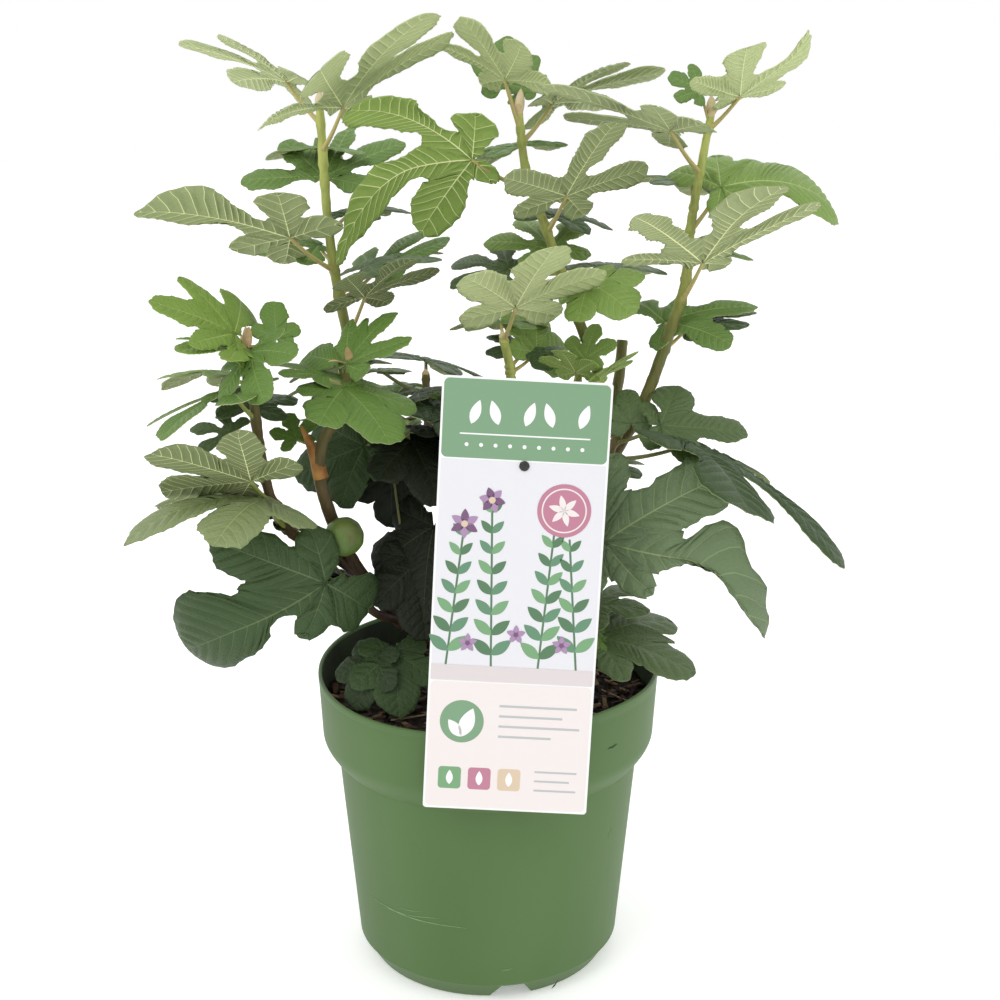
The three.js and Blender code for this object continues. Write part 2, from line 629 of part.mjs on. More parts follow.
// fill is the seeded rule for the rest: how many leaves, between which heights of the stem and headings.
const MASSES = {
  left_top: {
    limb: "left_tall",
    seed: 3,
    shown: [
      ["high_wing", 512, -62, 36, 42, -35, 45, -5, 88, 25],
      ["deep", 528, 138, 40, 39, 178, 28, -15, 70, 20],
      ["left_back", 492, 98, 13, 17, 77, 38, 0, 60, 10],
      ["left_wing", 440, -128, 31, 43, -150, 18, -30, 95, 15],
      ["deep", 445, 117, 19, 27, -140, 10, 15, 45, 30],
      ["deep", 422, 45, 28, 32, 56, 34, 10, 60, 20],
      ["deep", 399, -57, 49, 36, -45, 38, 0, 56, 20],
    ],
    fill: { count: 3, low: 405, high: 525, from: 40, to: 110, length: [50, 70] },
  },
  centre_top: {
    limb: "centre",
    seed: 5,
    shown: [
      ["centre_crest", 524, -134, 65, 32, -150, 50, -10, 50, 20],
      ["high_hand", 488, -147, 24, 47, 164, -6, -50, 95, 50],
      ["deep", 517, 50, 38, 38, 8, 24, 15, 74, 20],
      ["cross", 463, -66, 42, 34, -50, 48, 10, 66, 15],
      ["deep", 444, 96, 11, 29, 117, 34, 10, 52, 30],
      ["deep", 438, 141, 0, 42, 150, 15, 25, 46, 30],
      ["broad", 411, -81, 33, 43, -58, -10, -30, 42, 30],
    ],
    fill: { count: 3, low: 412, high: 520, from: 40, to: 115, length: [50, 70] },
  },
  right_top: {
    limb: "right",
    seed: 7,
    shown: [
      ["right_crest", 524, -38, 43, 28, -90, 27, -25, 52, 0],
      ["right_blade", 499, -132, 38, 40, -168, 20, -8, 84, 10],
      ["right_roof", 464, 6, 55, 32, 0, 15, -40, 80, 60],
      ["right_wing", 421, -69, 45, 37, -55, 38, 4, 87, 15],
      ["right_span", 405, 100, 8, 14, -14, 20, -32, 50, 30],
    ],
    fill: { count: 3, low: 370, high: 500, from: 40, to: 100, length: [45, 60] },
  },
  centre_low: {
    limb: "centre_low",
    seed: 11,
    shown: [
      ["mid", 399, -70, 48, 30, -65, 43, 0, 68, 15],
      ["broad", 379, 48, 22, 26, 85, 45, -40, 40, 20],
    ],
    fill: { count: 2, low: 375, high: 405, from: 60, to: 160, length: [45, 55] },
  },
  centre_side: {
    limb: "centre_side",
    seed: 13,
    shown: [
      ["mid", 372, -100, 40, 12, -120, 45, 0, 30, 20],
      ["mid", 366, -10, 30, 14, -30, 45, 0, 34, 20],
      ["mid", 380, -60, 50, 10, 60, 60, 0, 26, 20],
    ],
    fill: { count: 1, low: 345, high: 365, from: -40, to: 0, length: [34, 40] },
  },
  left_crown: {
    limb: "left_low",
    seed: 17,
    shown: [
      ["crown_hand", 386, -96, 60, 8, 51, 43, 0, 48, 20],
      ["broad", 376, -89, 20, 13, -50, -14, 0, 54, 30],
      ["mid", 380, -170, 25, 14, 165, 20, 0, 34, 20],
    ],
    fill: { count: 3, low: 350, high: 385, from: 0, to: 140, length: [42, 56] },
  },
  left_front: {
    limb: "left_side",
    seed: 19,
    shown: [
      ["comb", 402, -114, 42, 18, -138, 32, 40, 56, 20],
      ["mid", 399, -102, 22, 19, -132, 14, 10, 40, 20],
      ["mid", 395, -77, 24, 25, -81, -21, -35, 42, 30],
      ["oval", 403, 28, 19, 18, 104, 57, 0, 26, 20],
      ["deep", 363, -128, 47, 26, -124, -7, -15, 60, 20],
      ["mid", 313, -103, 33, 35, -145, 24, -35, 64, 5],
      ["mid", 295, -118, 46, 31, -150, 15, 0, 85, 50],
    ],
    fill: { count: 3, low: 320, high: 395, from: 70, to: 170, length: [40, 52] },
  },
  low_left: {
    limb: "low_left",
    seed: 23,
    shown: [["low_paw", 262, -109, 14, 33, -142, -32, 84, 100, 80]],
    fill: { count: 2, low: 245, high: 262, from: 150, to: 200, length: [50, 60] },
  },
  inner_left: {
    limb: "inner_left",
    seed: 29,
    shown: [
      ["broad", 340, -60, 10, 26, -60, -25, 0, 50, 30],
      ["broad", 352, -20, 20, 30, -10, -20, 0, 60, 30],
      ["broad", 336, 176, 0, 17, -176, -18, 50, 50, 30],
    ],
    fill: { count: 2, low: 330, high: 366, from: -30, to: 60, length: [42, 50] },
  },
  inner_low: {
    limb: "inner_low",
    seed: 53,
    shown: [
      ["broad", 285, -24, 10, 23, -112, -58, 0, 60, 30],
      ["broad", 270, -60, -5, 18, -75, -55, 0, 50, 30],
    ],
    fill: { count: 1, low: 272, high: 286, from: 100, to: 140, length: [40, 50] },
  },
  foot_front: {
    limb: "foot_front",
    seed: 31,
    shown: [
      ["broad", 205, -154, 9, 37, -120, -45, 0, 34, 20],
      ["broad", 208, -146, 12, 24, -80, -38, 0, 42, 20],
      ["broad", 232, -70, 10, 16, -60, -20, 0, 40, 40],
      ["broad", 222, 150, 10, 16, 160, 0, 10, 40, 30],
    ],
    fill: { count: 2, low: 222, high: 236, from: -60, to: 60, length: [40, 50] },
  },
  right_low: {
    limb: "right_low",
    seed: 37,
    shown: [
      ["low_ear", 336, -24, 24, 32, 0, -5, -35, 56, 10],
      ["low_strap", 326, -25, 15, 54, -28, -15, 13, 121, 34],
      ["low_hook", 298, -81, -15, 46, -38, -15, -84, 125, 75],
      ["broad", 346, -60, 20, 8, 95, 55, 0, 26, 20],
    ],
    fill: { count: 3, low: 300, high: 344, from: 20, to: 100, length: [45, 60] },
  },
  foot_right: {
    limb: "foot_right",
    seed: 41,
    shown: [["foot_roof", 212, -4, 14, 29, -14, 0, -15, 62, 30]],
    fill: { count: 2, low: 206, high: 230, from: 10, to: 60, length: [45, 55] },
  },
  back_left: {
    limb: "back_left",
    seed: 43,
    shown: [],
    fill: { count: 7, low: 292, high: 368, from: 40, to: 220, length: [58, 80] },
  },
  back_right: {
    limb: "back_right",
    seed: 47,
    shown: [],
    fill: { count: 6, low: 290, high: 345, from: 20, to: 170, length: [50, 70] },
  },
};

const GOLDEN_TURN = 137.5;

// Numbers from 0 to 1 in a fixed order for each seed.
function seeded(seed) {
  let state = seed >>> 0;
  return () => {
    state = (Math.imul(state, 1664525) + 1013904223) >>> 0;
    return state / 4294967296;
  };
}

function rowsOf(mass) {
  const shown = mass.shown.map((row) =>
    Object.fromEntries(LEAF_COLUMNS.map((column, index) => [column, row[index]])),
  );
  const { count, low, high, from, to, length } = mass.fill;
  const random = seeded(mass.seed);
  const between = (a, b) => a + (b - a) * random();
  const filled = [];
  for (let i = 0; i < count; i++) {
    const share = (i * GOLDEN_TURN / 360) % 1;
    const turn = from + (to - from) * share;
    const reach = between(length[0], length[1]);
    filled.push({
      form: random() < 0.6 ? "deep" : "mid",
      height: low + ((high - low) * (i + 0.5)) / count,
      turn,
      rise: between(15, 40),
      stalk: reach * between(0.35, 0.55),
      aim: turn + between(-20, 20),
      pitch: between(-5, 25),
      roll: between(-15, 15),
      length: reach,
      droop: between(25, 45),
    });
  }
  return { shown, filled };
}

const STALK_RADIUS = [1.5, 1.1]; // at the stem and at the blade

// One leaf's stalk and blade, its root sunk into the stem.
function leafSolid(path, row) {
  const root = path.getPoint(placeAtHeight(path, row.height));
  const junction = root.clone().addScaledVector(direction(row.turn, row.rise), row.stalk);
  const [thick, thin] = STALK_RADIUS;
  const line = new THREE.LineCurve3(root, junction);
  const stalk = limbGeometry(line, 0, 1, (t) => THREE.MathUtils.lerp(thick, thin, t), 3, 1);
  const frame = bladeFrame(row.aim, row.pitch, row.roll).setPosition(junction);
  const blade = bladeGeometry(row.form, row.length, row.droop, (p) => p.applyMatrix4(frame));
  return solidOf(stalk).add(solidOf(blade));
}

// ---- Assembly ------------------------------------------------------------------------------------------

const LIMB_SIDES = 6;
const STEM_SIDES = 5;

// The largest body of a solid; a cut can leave loose scraps.
function largest(solid) {
  return solid.decompose().reduce((best, one) => (one.volume() > best.volume() ? one : best));
}

const touches = (a, b) => {
  const [p, q] = [a.boundingBox(), b.boundingBox()];
  for (let i = 0; i < 3; i++) if (p.min[i] > q.max[i] || q.min[i] > p.max[i]) return false;
  return a.intersect(b).volume() > 1e-4;
};

// The trunk: a short stump with a root flare, cut flat just above the soil, up to its fork.
const trunkLine = pathThrough([
  [TRUNK.x, TRUNK.y, SOIL.height - 6],
  [TRUNK.x + TRUNK.lean, TRUNK.y, TRUNK.forkHeight],
]);
const trunkRadius = (place) =>
  TRUNK.radius + (TRUNK.flareRadius - TRUNK.radius) * Math.pow(1 - place, 2.2);

function trunkSolid(more) {
  const whole = solidOf(limbGeometry(trunkLine, 0, 1, (place) => trunkRadius(place) + more, 12, 4));
  const below = new THREE.BoxGeometry(200, 200, 40);
  below.translate(0, 0, SOIL.height + GAP - more - 20);
  return whole.subtract(solidOf(below));
}

const lines = {};
const limbRadius = {};
const lineOf = (name) => (name === "trunk" ? trunkLine : lines[name]);
for (const [name, limb] of Object.entries(LIMBS)) {
  const parent = lineOf(limb.parent);
  const start = parent.getPoint(placeAtHeight(parent, limb.leaves_at)).toArray();
  lines[name] = pathThrough([start, ...limb.line]);
  limbRadius[name] = (place) => limb.foot + (limb.tip - limb.foot) * Math.pow(place, 0.8);
}

const solids = {};
const fat = []; // every limb with the clearance added
solids.trunk = trunkSolid(0);
fat.push(trunkSolid(GAP));

const stems = {};
for (const [name, limb] of Object.entries(LIMBS)) {
  const line = lines[name];
  const steps = Math.ceil(1.5 * limb.line.length);
  const stretch = (from, to, more, sides) =>
    solidOf(limbGeometry(line, from, to, (place) => limbRadius[name](place) + more, sides, steps));
  const carve = (solid) =>
    largest(fat.reduce((left, one) => (touches(left, one) ? left.subtract(one) : left), solid));
  const end = limb.enters === undefined ? 1 : placeAtHeight(line, limb.enters);
  const gapShare = GAP / line.getLength();
  const mine = [];
  if (end > 0.02) {
    solids["bough_" + name] = carve(stretch(0, end, 0, LIMB_SIDES));
    mine.push(stretch(0, end, GAP, LIMB_SIDES));
  }
  if (end < 1) {
    const from = end > 0.02 ? end + gapShare : 0;
    stems[name] = carve(stretch(from, 1, 0, STEM_SIDES));
    mine.push(stretch(from, 1, GAP, STEM_SIDES));
  }
  fat.push(...mine);
}

// ---- Pot, soil, fruit and card -------------------------------------------------------------------------

// The card's own frame: x along its lower edge, y up its face, z out of its front.
const cardUp = new THREE.Vector3(
  Math.sin(radians(CARD.roll)),
  Math.sin(radians(CARD.lean)) * Math.cos(radians(CARD.roll)),
  Math.cos(radians(CARD.lean)) * Math.cos(radians(CARD.roll)),
);
const cardRight = new THREE.Vector3(Math.cos(radians(CARD.roll)), 0, -Math.sin(radians(CARD.roll)));
const cardFront = new THREE.Vector3().crossVectors(cardRight, cardUp).normalize();
cardRight.crossVectors(cardUp, cardFront);
const cardFoot = new THREE.Vector3(
  CARD.footX,
  CARD.rimY - Math.tan(radians(CARD.lean)) * (POT.rimHeight - CARD.footHeight),
  CARD.footHeight,
);
const cardFrame = new THREE.Matrix4().makeBasis(cardRight, cardUp, cardFront).setPosition(cardFoot);
const pinPlace = new THREE.Vector3(CARD.pinSide, CARD.pinUp, 0).applyMatrix4(cardFrame);

function cardOutline() {
  const { width, height, corner } = CARD;
  const half = width / 2;
  const outline = new THREE.Shape();
  outline.absarc(half - corner, corner, corner, -Math.PI / 2, 0);
  outline.absarc(half - corner, height - corner, corner, 0, Math.PI / 2);
  outline.absarc(corner - half, height - corner, corner, Math.PI / 2, Math.PI);
  outline.absarc(corner - half, corner, corner, Math.PI, 1.5 * Math.PI);
  const hole = new THREE.Path();
  hole.absarc(CARD.pinSide, CARD.pinUp, PIN.shankRadius + GAP, 0, 2 * Math.PI, true);
  outline.holes.push(hole);
  return outline;
}

function cardGeometry() {
  const geometry = new THREE.ExtrudeGeometry(cardOutline(), {
    depth: CARD.thickness,
    bevelEnabled: false,
    curveSegments: 3,
  });
  return geometry.translate(0, 0, -CARD.thickness / 2).applyMatrix4(cardFrame);
}

// The pin: a low domed head on the card's front and a shank that ends just off the stick.
function pinGeometry() {
  const face = CARD.thickness / 2 + GAP;
  const shankEnd = pinPlace.y - (STICK.y - STICK.depth / 2 - GAP);
  const profile = [
    [0, shankEnd],
    [PIN.shankRadius, shankEnd],
    [PIN.shankRadius, face],
    [PIN.headRadius, face],
    [PIN.headRadius, face + PIN.headDepth * 0.5],
    [PIN.headRadius * 0.7, face + PIN.headDepth],
    [0, face + PIN.headDepth],
  ];
  const alongFront = new THREE.Matrix4().makeTranslation(CARD.pinSide, CARD.pinUp, 0);
  return turned(profile, 10).applyMatrix4(alongFront).applyMatrix4(cardFrame);
}

function stickGeometry(more) {
  const { width, depth, y, foot, top } = STICK;
  const box = new THREE.BoxGeometry(width + 2 * more, depth + 2 * more, top - foot + 2 * more);
  return box.translate(pinPlace.x, y, (foot + top) / 2);
}

// The unripe fig: a short neck out of the bough, a round body and a small flat eye.
function figGeometry() {
  const { stalk, length, radius, neckRadius } = FIG;
  const profile = [[0, 0], [neckRadius, 0], [neckRadius, stalk]];
  for (const [out, along] of [[0.42, 0.08], [0.8, 0.28], [1, 0.58], [0.9, 0.82], [0.62, 0.95]]) {
    profile.push([out * radius, stalk + along * length]);
  }
  profile.push([0.2 * radius, stalk + length], [0, stalk + length]);
  const out = direction(FIG.heading, FIG.rise);
  const root = lines.left_low.getPoint(placeAtHeight(lines.left_low, FIG.height));
  const turn = new THREE.Quaternion().setFromUnitVectors(new THREE.Vector3(0, 0, 1), out);
  const place = new THREE.Matrix4().compose(root, turn, new THREE.Vector3(1, 1, 1));
  return turned(profile, 14).applyMatrix4(place);
}

solids.pot = potSolid();
solids.soil = soilSolid(solidOf(stickGeometry(GAP)));
solids.card = solidOf(cardGeometry());
solids.card_pin = solidOf(pinGeometry());
solids.card_stick = solidOf(stickGeometry(0));
solids.fig_fruit = largest(fat.reduce(
  (left, one) => (touches(left, one) ? left.subtract(one) : left),
  solidOf(figGeometry()),
));

// ---- Leaves onto their stems ---------------------------------------------------------------------------

// The leaves that were placed by eye go in first, then those of the rule. One that would touch another mass,
// a limb, the pot or the card is skipped.
const parts = {};
for (const name of Object.keys(MASSES)) parts[name] = [stems[MASSES[name].limb]];
for (const kind of ["shown", "filled"]) {
  for (const [name, mass] of Object.entries(MASSES)) {
    for (const row of rowsOf(mass)[kind]) {
      const leaf = leafSolid(lines[mass.limb], row);
      const others = [
        ...Object.values(solids),
        ...Object.entries(parts).flatMap(([other, list]) => (other === name ? [] : list)),
      ];
      if (!others.some((other) => touches(leaf, other))) parts[name].push(leaf);
    }
  }
}
for (const [name, list] of Object.entries(parts)) solids["leaves_" + name] = largest(union(list));

// Level, the origin comes under the middle of the box round everything.
const reach = new THREE.Box3();
for (const solid of Object.values(solids)) {
  const { min, max } = solid.boundingBox();
  reach.expandByPoint(vector(min)).expandByPoint(vector(max));
}
const middle = reach.getCenter(new THREE.Vector3());

const looks = {
  pot: POT_GREEN,
  soil: SOIL_BROWN,
  card: CARD_WHITE,
  card_pin: BLACK,
  card_stick: BLACK,
  fig_fruit: FIG_GREEN,
};
for (const [name, solid] of Object.entries(solids)) {
  const material = looks[name] ?? (name.startsWith("leaves_") ? LEAF_GREEN : BARK);
  addPiece(name, geometryOf(solid).translate(-middle.x, -middle.y, 0), material);
}

export default plant;
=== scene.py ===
# A young fig tree in a green nursery pot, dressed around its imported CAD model.
# Sizes are in millimetres round the pot's axis until a piece is made, and in metres in Blender.
import math

import bmesh
import bpy
import mathutils
import numpy as np
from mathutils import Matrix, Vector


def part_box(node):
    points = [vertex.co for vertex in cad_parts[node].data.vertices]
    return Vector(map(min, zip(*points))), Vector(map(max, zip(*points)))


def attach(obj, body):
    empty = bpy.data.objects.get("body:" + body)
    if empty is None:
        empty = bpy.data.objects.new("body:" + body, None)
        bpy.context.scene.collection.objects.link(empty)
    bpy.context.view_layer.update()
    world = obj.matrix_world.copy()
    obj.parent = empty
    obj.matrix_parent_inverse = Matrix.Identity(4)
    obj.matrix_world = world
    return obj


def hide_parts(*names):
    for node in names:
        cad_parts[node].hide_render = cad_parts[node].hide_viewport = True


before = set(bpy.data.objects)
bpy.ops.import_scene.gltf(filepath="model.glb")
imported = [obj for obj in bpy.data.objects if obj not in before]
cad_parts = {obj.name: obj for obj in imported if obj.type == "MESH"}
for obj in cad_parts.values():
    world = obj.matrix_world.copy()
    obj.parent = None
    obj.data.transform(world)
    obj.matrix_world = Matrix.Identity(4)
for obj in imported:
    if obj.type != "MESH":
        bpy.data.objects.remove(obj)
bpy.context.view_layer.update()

MM = 0.001
pot_low, pot_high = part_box("pot")
SHIFT = np.array([(pot_low.x + pot_high.x) / 2, (pot_low.y + pot_high.y) / 2, 0.0]) / MM

# ---- Driving sizes, as in the CAD source ----

POT = dict(
    rim_radius=108.7, rim_height=191.8, rim_rise=0.027, rim_warp=2.3, rim_warp_heading=47,
    collar_foot=152, collar_foot_radius=106.4, step_height=134, step_radius=96.3, foot_radius=84,
    band_height=12, band_foot_radius=77, wall=2.4, floor=3, recess=12, foot_ring=5,
    drains=3, drain_heading=-79, drain_height=11, drain_width=27, drain_top_width=14,
)
SOIL = dict(height=176, dome_radius=60)
TRUNK = dict(x=-8, y=2, flare_radius=23, radius=16, fork_height=200, lean=-3)
CARD = dict(
    width=94, height=248, thickness=1, corner=2, foot_height=144, foot_x=10.5, roll=3, lean=4.9,
    rim_y=-109.9, pin_up=200, pin_side=0.5,
)
PIN = dict(head_radius=2.9, head_depth=1.4, shank_radius=1.4)
STICK = dict(width=6, depth=1.8, y=-94.5, foot=140, top=351)
FIG = dict(height=289, heading=-72, rise=8, stalk=4, length=24, radius=11.6)

# Each limb: its parent and the height at which it leaves it, its radii, and the points of its middle line.
LIMBS = {
    "left_tall": ("trunk", 192, 5.4, 2.4,
        [(-34, 8, 240), (-56, 12, 300), (-74, 17, 345), (-88, 21, 405), (-97, 23, 465), (-101, 25, 543)]),
    "left_low": ("trunk", 190, 5.6, 2.6,
        [(-42, -10, 214), (-62, -20, 235), (-84, -36, 275), (-97, -47, 318), (-96, -51, 345),
         (-84, -50, 368), (-78, -50, 394)]),
    "centre": ("trunk", 194, 5.2, 2.3,
        [(16, 22, 240), (50, 36, 310), (70, 40, 366), (64, 38, 392), (52, 35, 421), (38, 30, 461),
         (24, 27, 500), (18, 25, 547)]),
    "right": ("trunk", 192, 5.2, 2.2,
        [(42, 8, 250), (78, 14, 322), (96, 16, 354), (112, 18, 398), (122, 18, 432), (124, 18, 465),
         (129, 16, 501), (136, 15, 545)]),
    "centre_low": ("trunk", 194, 4.6, 2.2,
        [(6, -8, 245), (16, 2, 320), (15, 7, 374), (11, 6, 396), (6, 5, 416)]),
    "back_left": ("trunk", 192, 4.8, 2.4,
        [(-18, 36, 235), (-32, 62, 285), (-40, 76, 330), (-42, 84, 372)]),
    "left_side": ("left_low", 262, 4, 2.4,
        [(-97, -40, 278), (-117, -52, 294), (-126, -58, 315), (-131, -64, 356), (-134, -68, 408)]),
    "right_low": ("right", 232, 4.4, 2.4,
        [(46, -6, 262), (64, -6, 300), (76, 0, 330), (86, 4, 348)]),
    "centre_side": ("centre", 300, 3.8, 2,
        [(50, 24, 325), (54, 14, 355), (58, 10, 388)]),
    "back_right": ("centre", 228, 4.2, 2.4,
        [(24, 52, 260), (40, 74, 300), (48, 84, 345), (50, 88, 366)]),
    "cut_stub": ("right", 300, 4, 3.4,
        [(74, 30, 330), (84, 46, 365), (87, 52, 393)]),
    "inner_left": ("left_tall", 296, 3, 2,
        [(-58, -4, 318), (-58, -14, 345), (-56, -20, 372)]),
    "low_left": ("left_low", 226, 3, 2,
        [(-68, -38, 238), (-78, -46, 254), (-84, -52, 266)]),
    "foot_front": ("trunk", 184, 3, 2,
        [(-30, -22, 196), (-40, -26, 214), (-42, -28, 240)]),
    "inner_low": ("left_tall", 236, 3, 2,
        [(-42, -2, 248), (-50, -10, 268), (-54, -16, 290)]),
    "foot_right": ("trunk", 184, 3, 2,
        [(24, -20, 196), (38, -26, 212), (44, -28, 232)]),
}

# The limbs that the CAD model has no node of their own for, and the one that is cut off.
TWIGS = ("inner_left", "low_left", "foot_front", "inner_low", "foot_right")
CUT_LIMB = "cut_stub"

# A leaf's lobes: the angle from the middle one, length, half width, where along it is widest, how far its tip
# swings to the right and how much wider its right half is. Then the notches between them and at the stalk.


def even_form(middle, following, last, notches, foot):
    """An even leaf, from its middle lobe, the next and the last."""
    inner, outer = notches
    mirrored = [(-one[0], *one[1:]) for one in (last, following)]
    return [*mirrored, middle, following, last], (outer, inner, inner, outer), foot


FORMS = {
    "deep": even_form((0, 1, 0.21, 0.68), (50, 0.88, 0.18, 0.68), (108, 0.5, 0.145, 0.64), (0.3, 0.27), 0.1),
    "mid": even_form((0, 1, 0.25, 0.62), (50, 0.84, 0.21, 0.62), (108, 0.52, 0.17, 0.6), (0.44, 0.36), 0.12),
    "broad": even_form((0, 1, 0.33, 0.6), (50, 0.82, 0.26, 0.6), (108, 0.52, 0.2, 0.58), (0.62, 0.46), 0.16),
    "oval": even_form((0, 1, 0.34, 0.52), (62, 0.6, 0.2, 0.6), (115, 0.42, 0.16, 0.6), (0.58, 0.4), 0.14),
    # The leaves that stand out most have forms of their own, with their lobes from left to right.
    "high_wing": (
        [(-100, 0.3, 0.12, 0.6), (-30, 0.9, 0.15, 0.75), (8, 1.06, 0.2, 0.6),
         (57, 1, 0.2, 0.7), (86, 1.1, 0.11, 0.65)],
        (0.2, 0.49, 0.3, 0.35), 0.1,
    ),
    "high_hand": (
        [(-110, 0.42, 0.15, 0.65), (-60, 1.04, 0.19, 0.72), (-5, 1.03, 0.16, 0.65, 0.45),
         (44, 0.67, 0.17, 0.52), (112, 0.22, 0.1, 0.6)],
        (0.25, 0.33, 0.34, 0.18), 0.1,
    ),
    "left_wing": (
        [(-120, 0.36, 0.12, 0.6), (-55, 0.52, 0.17, 0.7), (-2, 1, 0.19, 0.74, 0.05, -0.35),
         (54, 0.42, 0.13, 0.6), (112, 0.35, 0.12, 0.6)],
        (0.24, 0.25, 0.26, 0.2), 0.1,
    ),
    "left_back": (
        [(-92, 0.9, 0.2, 0.7), (-46, 0.88, 0.16, 0.6), (2, 1, 0.12, 0.5),
         (50, 0.95, 0.2, 0.62), (106, 0.5, 0.15, 0.6)],
        (0.38, 0.72, 0.32, 0.3), 0.1,
    ),
    "right_blade": (
        [(-100, 0.46, 0.13, 0.6), (-54, 0.5, 0.12, 0.6), (-4, 1, 0.2, 0.7, 0, -0.35),
         (48, 0.86, 0.17, 0.66), (110, 0.48, 0.14, 0.62)],
        (0.3, 0.36, 0.3, 0.27), 0.1,
    ),
    "right_wing": (
        [(-95, 0.28, 0.11, 0.6), (-28, 0.9, 0.14, 0.65, 0.05), (12, 1.03, 0.22, 0.76, -0.12, 0.5),
         (60, 1.4, 0.1, 0.5), (86, 0.74, 0.09, 0.6)],
        (0.24, 0.44, 0.38, 0.5), 0.1,
    ),
    "cross": (
        [(-122, 0.4, 0.13, 0.6), (-55, 0.8, 0.17, 0.66), (4, 1, 0.19, 0.66),
         (80, 0.78, 0.15, 0.6), (122, 0.5, 0.13, 0.6)],
        (0.24, 0.27, 0.27, 0.32), 0.1,
    ),
    "right_crest": (
        [(-116, 0.74, 0.13, 0.62), (-64, 1, 0.2, 0.7, 0.38, -0.6), (8, 1.16, 0.25, 0.84),
         (42, 1.08, 0.14, 0.7), (100, 0.35, 0.12, 0.6)],
        (0.62, 0.38, 0.7, 0.35), 0.1,
    ),
    "right_roof": (
        [(-124, 0.56, 0.13, 0.6), (-80, 0.5, 0.11, 0.6), (-2, 1.15, 0.34, 0.68, 0, -0.05),
         (58, 0.34, 0.11, 0.6), (112, 0.28, 0.1, 0.6)],
        (0.28, 0.45, 0.34, 0.2), 0.1,
    ),
    "low_hook": (
        [(-112, 0.44, 0.13, 0.6), (-54, 0.76, 0.15, 0.64), (-10, 0.86, 0.185, 0.78, 0.67, -0.9),
         (27, 0.35, 0.1, 0.62), (94, 0.25, 0.1, 0.6)],
        (0.3, 0.41, 0.31, 0.2), 0.1,
    ),
    "low_ear": (
        [(-125, 0.3, 0.07, 0.6), (-72, 0.68, 0.24, 0.62), (-3, 1, 0.22, 0.7),
         (50, 0.66, 0.18, 0.6), (110, 0.4, 0.14, 0.6)],
        (0.2, 0.46, 0.44, 0.3), 0.12,
    ),
    "low_strap": (
        [(-104, 0.35, 0.12, 0.6), (-42, 0.5, 0.14, 0.6), (0, 1, 0.19, 0.78),
         (46, 0.86, 0.2, 0.66), (104, 0.4, 0.14, 0.6)],
        (0.25, 0.32, 0.4, 0.3), 0.12,
    ),
    "low_paw": (
        [(-112, 0.45, 0.2, 0.6), (-36, 0.36, 0.11, 0.65), (8, 1.15, 0.36, 0.7, -0.15, 0.1),
         (60, 0.78, 0.16, 0.58), (114, 0.36, 0.14, 0.6)],
        (0.3, 0.27, 0.53, 0.3), 0.14,
    ),
    "comb": (
        [(-92, 0.5, 0.15, 0.6), (-42, 0.76, 0.13, 0.6), (-4, 0.97, 0.2, 0.62),
         (48, 0.78, 0.17, 0.65), (110, 1.05, 0.26, 0.65)],
        (0.3, 0.5, 0.55, 0.42), 0.12,
    ),
    "crown_hand": (
        [(-84, 0.85, 0.24, 0.62), (-34, 0.95, 0.14, 0.6), (0, 1.02, 0.14, 0.6),
         (50, 0.85, 0.15, 0.6), (104, 0.42, 0.15, 0.6)],
        (0.48, 0.86, 0.4, 0.3), 0.1,
    ),
    "centre_crest": (
        [(-104, 0.8, 0.16, 0.7), (-62, 0.95, 0.2, 0.7), (-8, 1, 0.24, 0.7),
         (37, 0.97, 0.12, 0.6), (86, 0.45, 0.14, 0.6)],
        (0.6, 0.45, 0.4, 0.3), 0.1,
    ),
    "right_span": (
        [(-116, 1, 0.15, 0.6), (-60, 0.5, 0.16, 0.6), (-6, 1.2, 0.2, 0.6),
         (36, 1, 0.2, 0.7), (108, 0.5, 0.15, 0.6)],
        (0.35, 0.4, 0.62, 0.35), 0.12,
    ),
    "foot_roof": (
        [(-92, 1, 0.24, 0.7), (-46, 1.05, 0.26, 0.65), (6, 1.08, 0.28, 0.62),
         (52, 0.7, 0.17, 0.6), (108, 0.45, 0.15, 0.6)],
        (0.8, 0.85, 0.62, 0.35), 0.14,
    ),
}
LAST_NOTCH_TURN = 52  # degrees from an outermost lobe to where the margin meets the stalk
CUP = 0.06  # how far a blade rises for each step away from its middle line

LEAF_COLUMNS = ["form", "height", "turn", "rise", "stalk", "aim", "pitch", "roll", "length", "droop"]
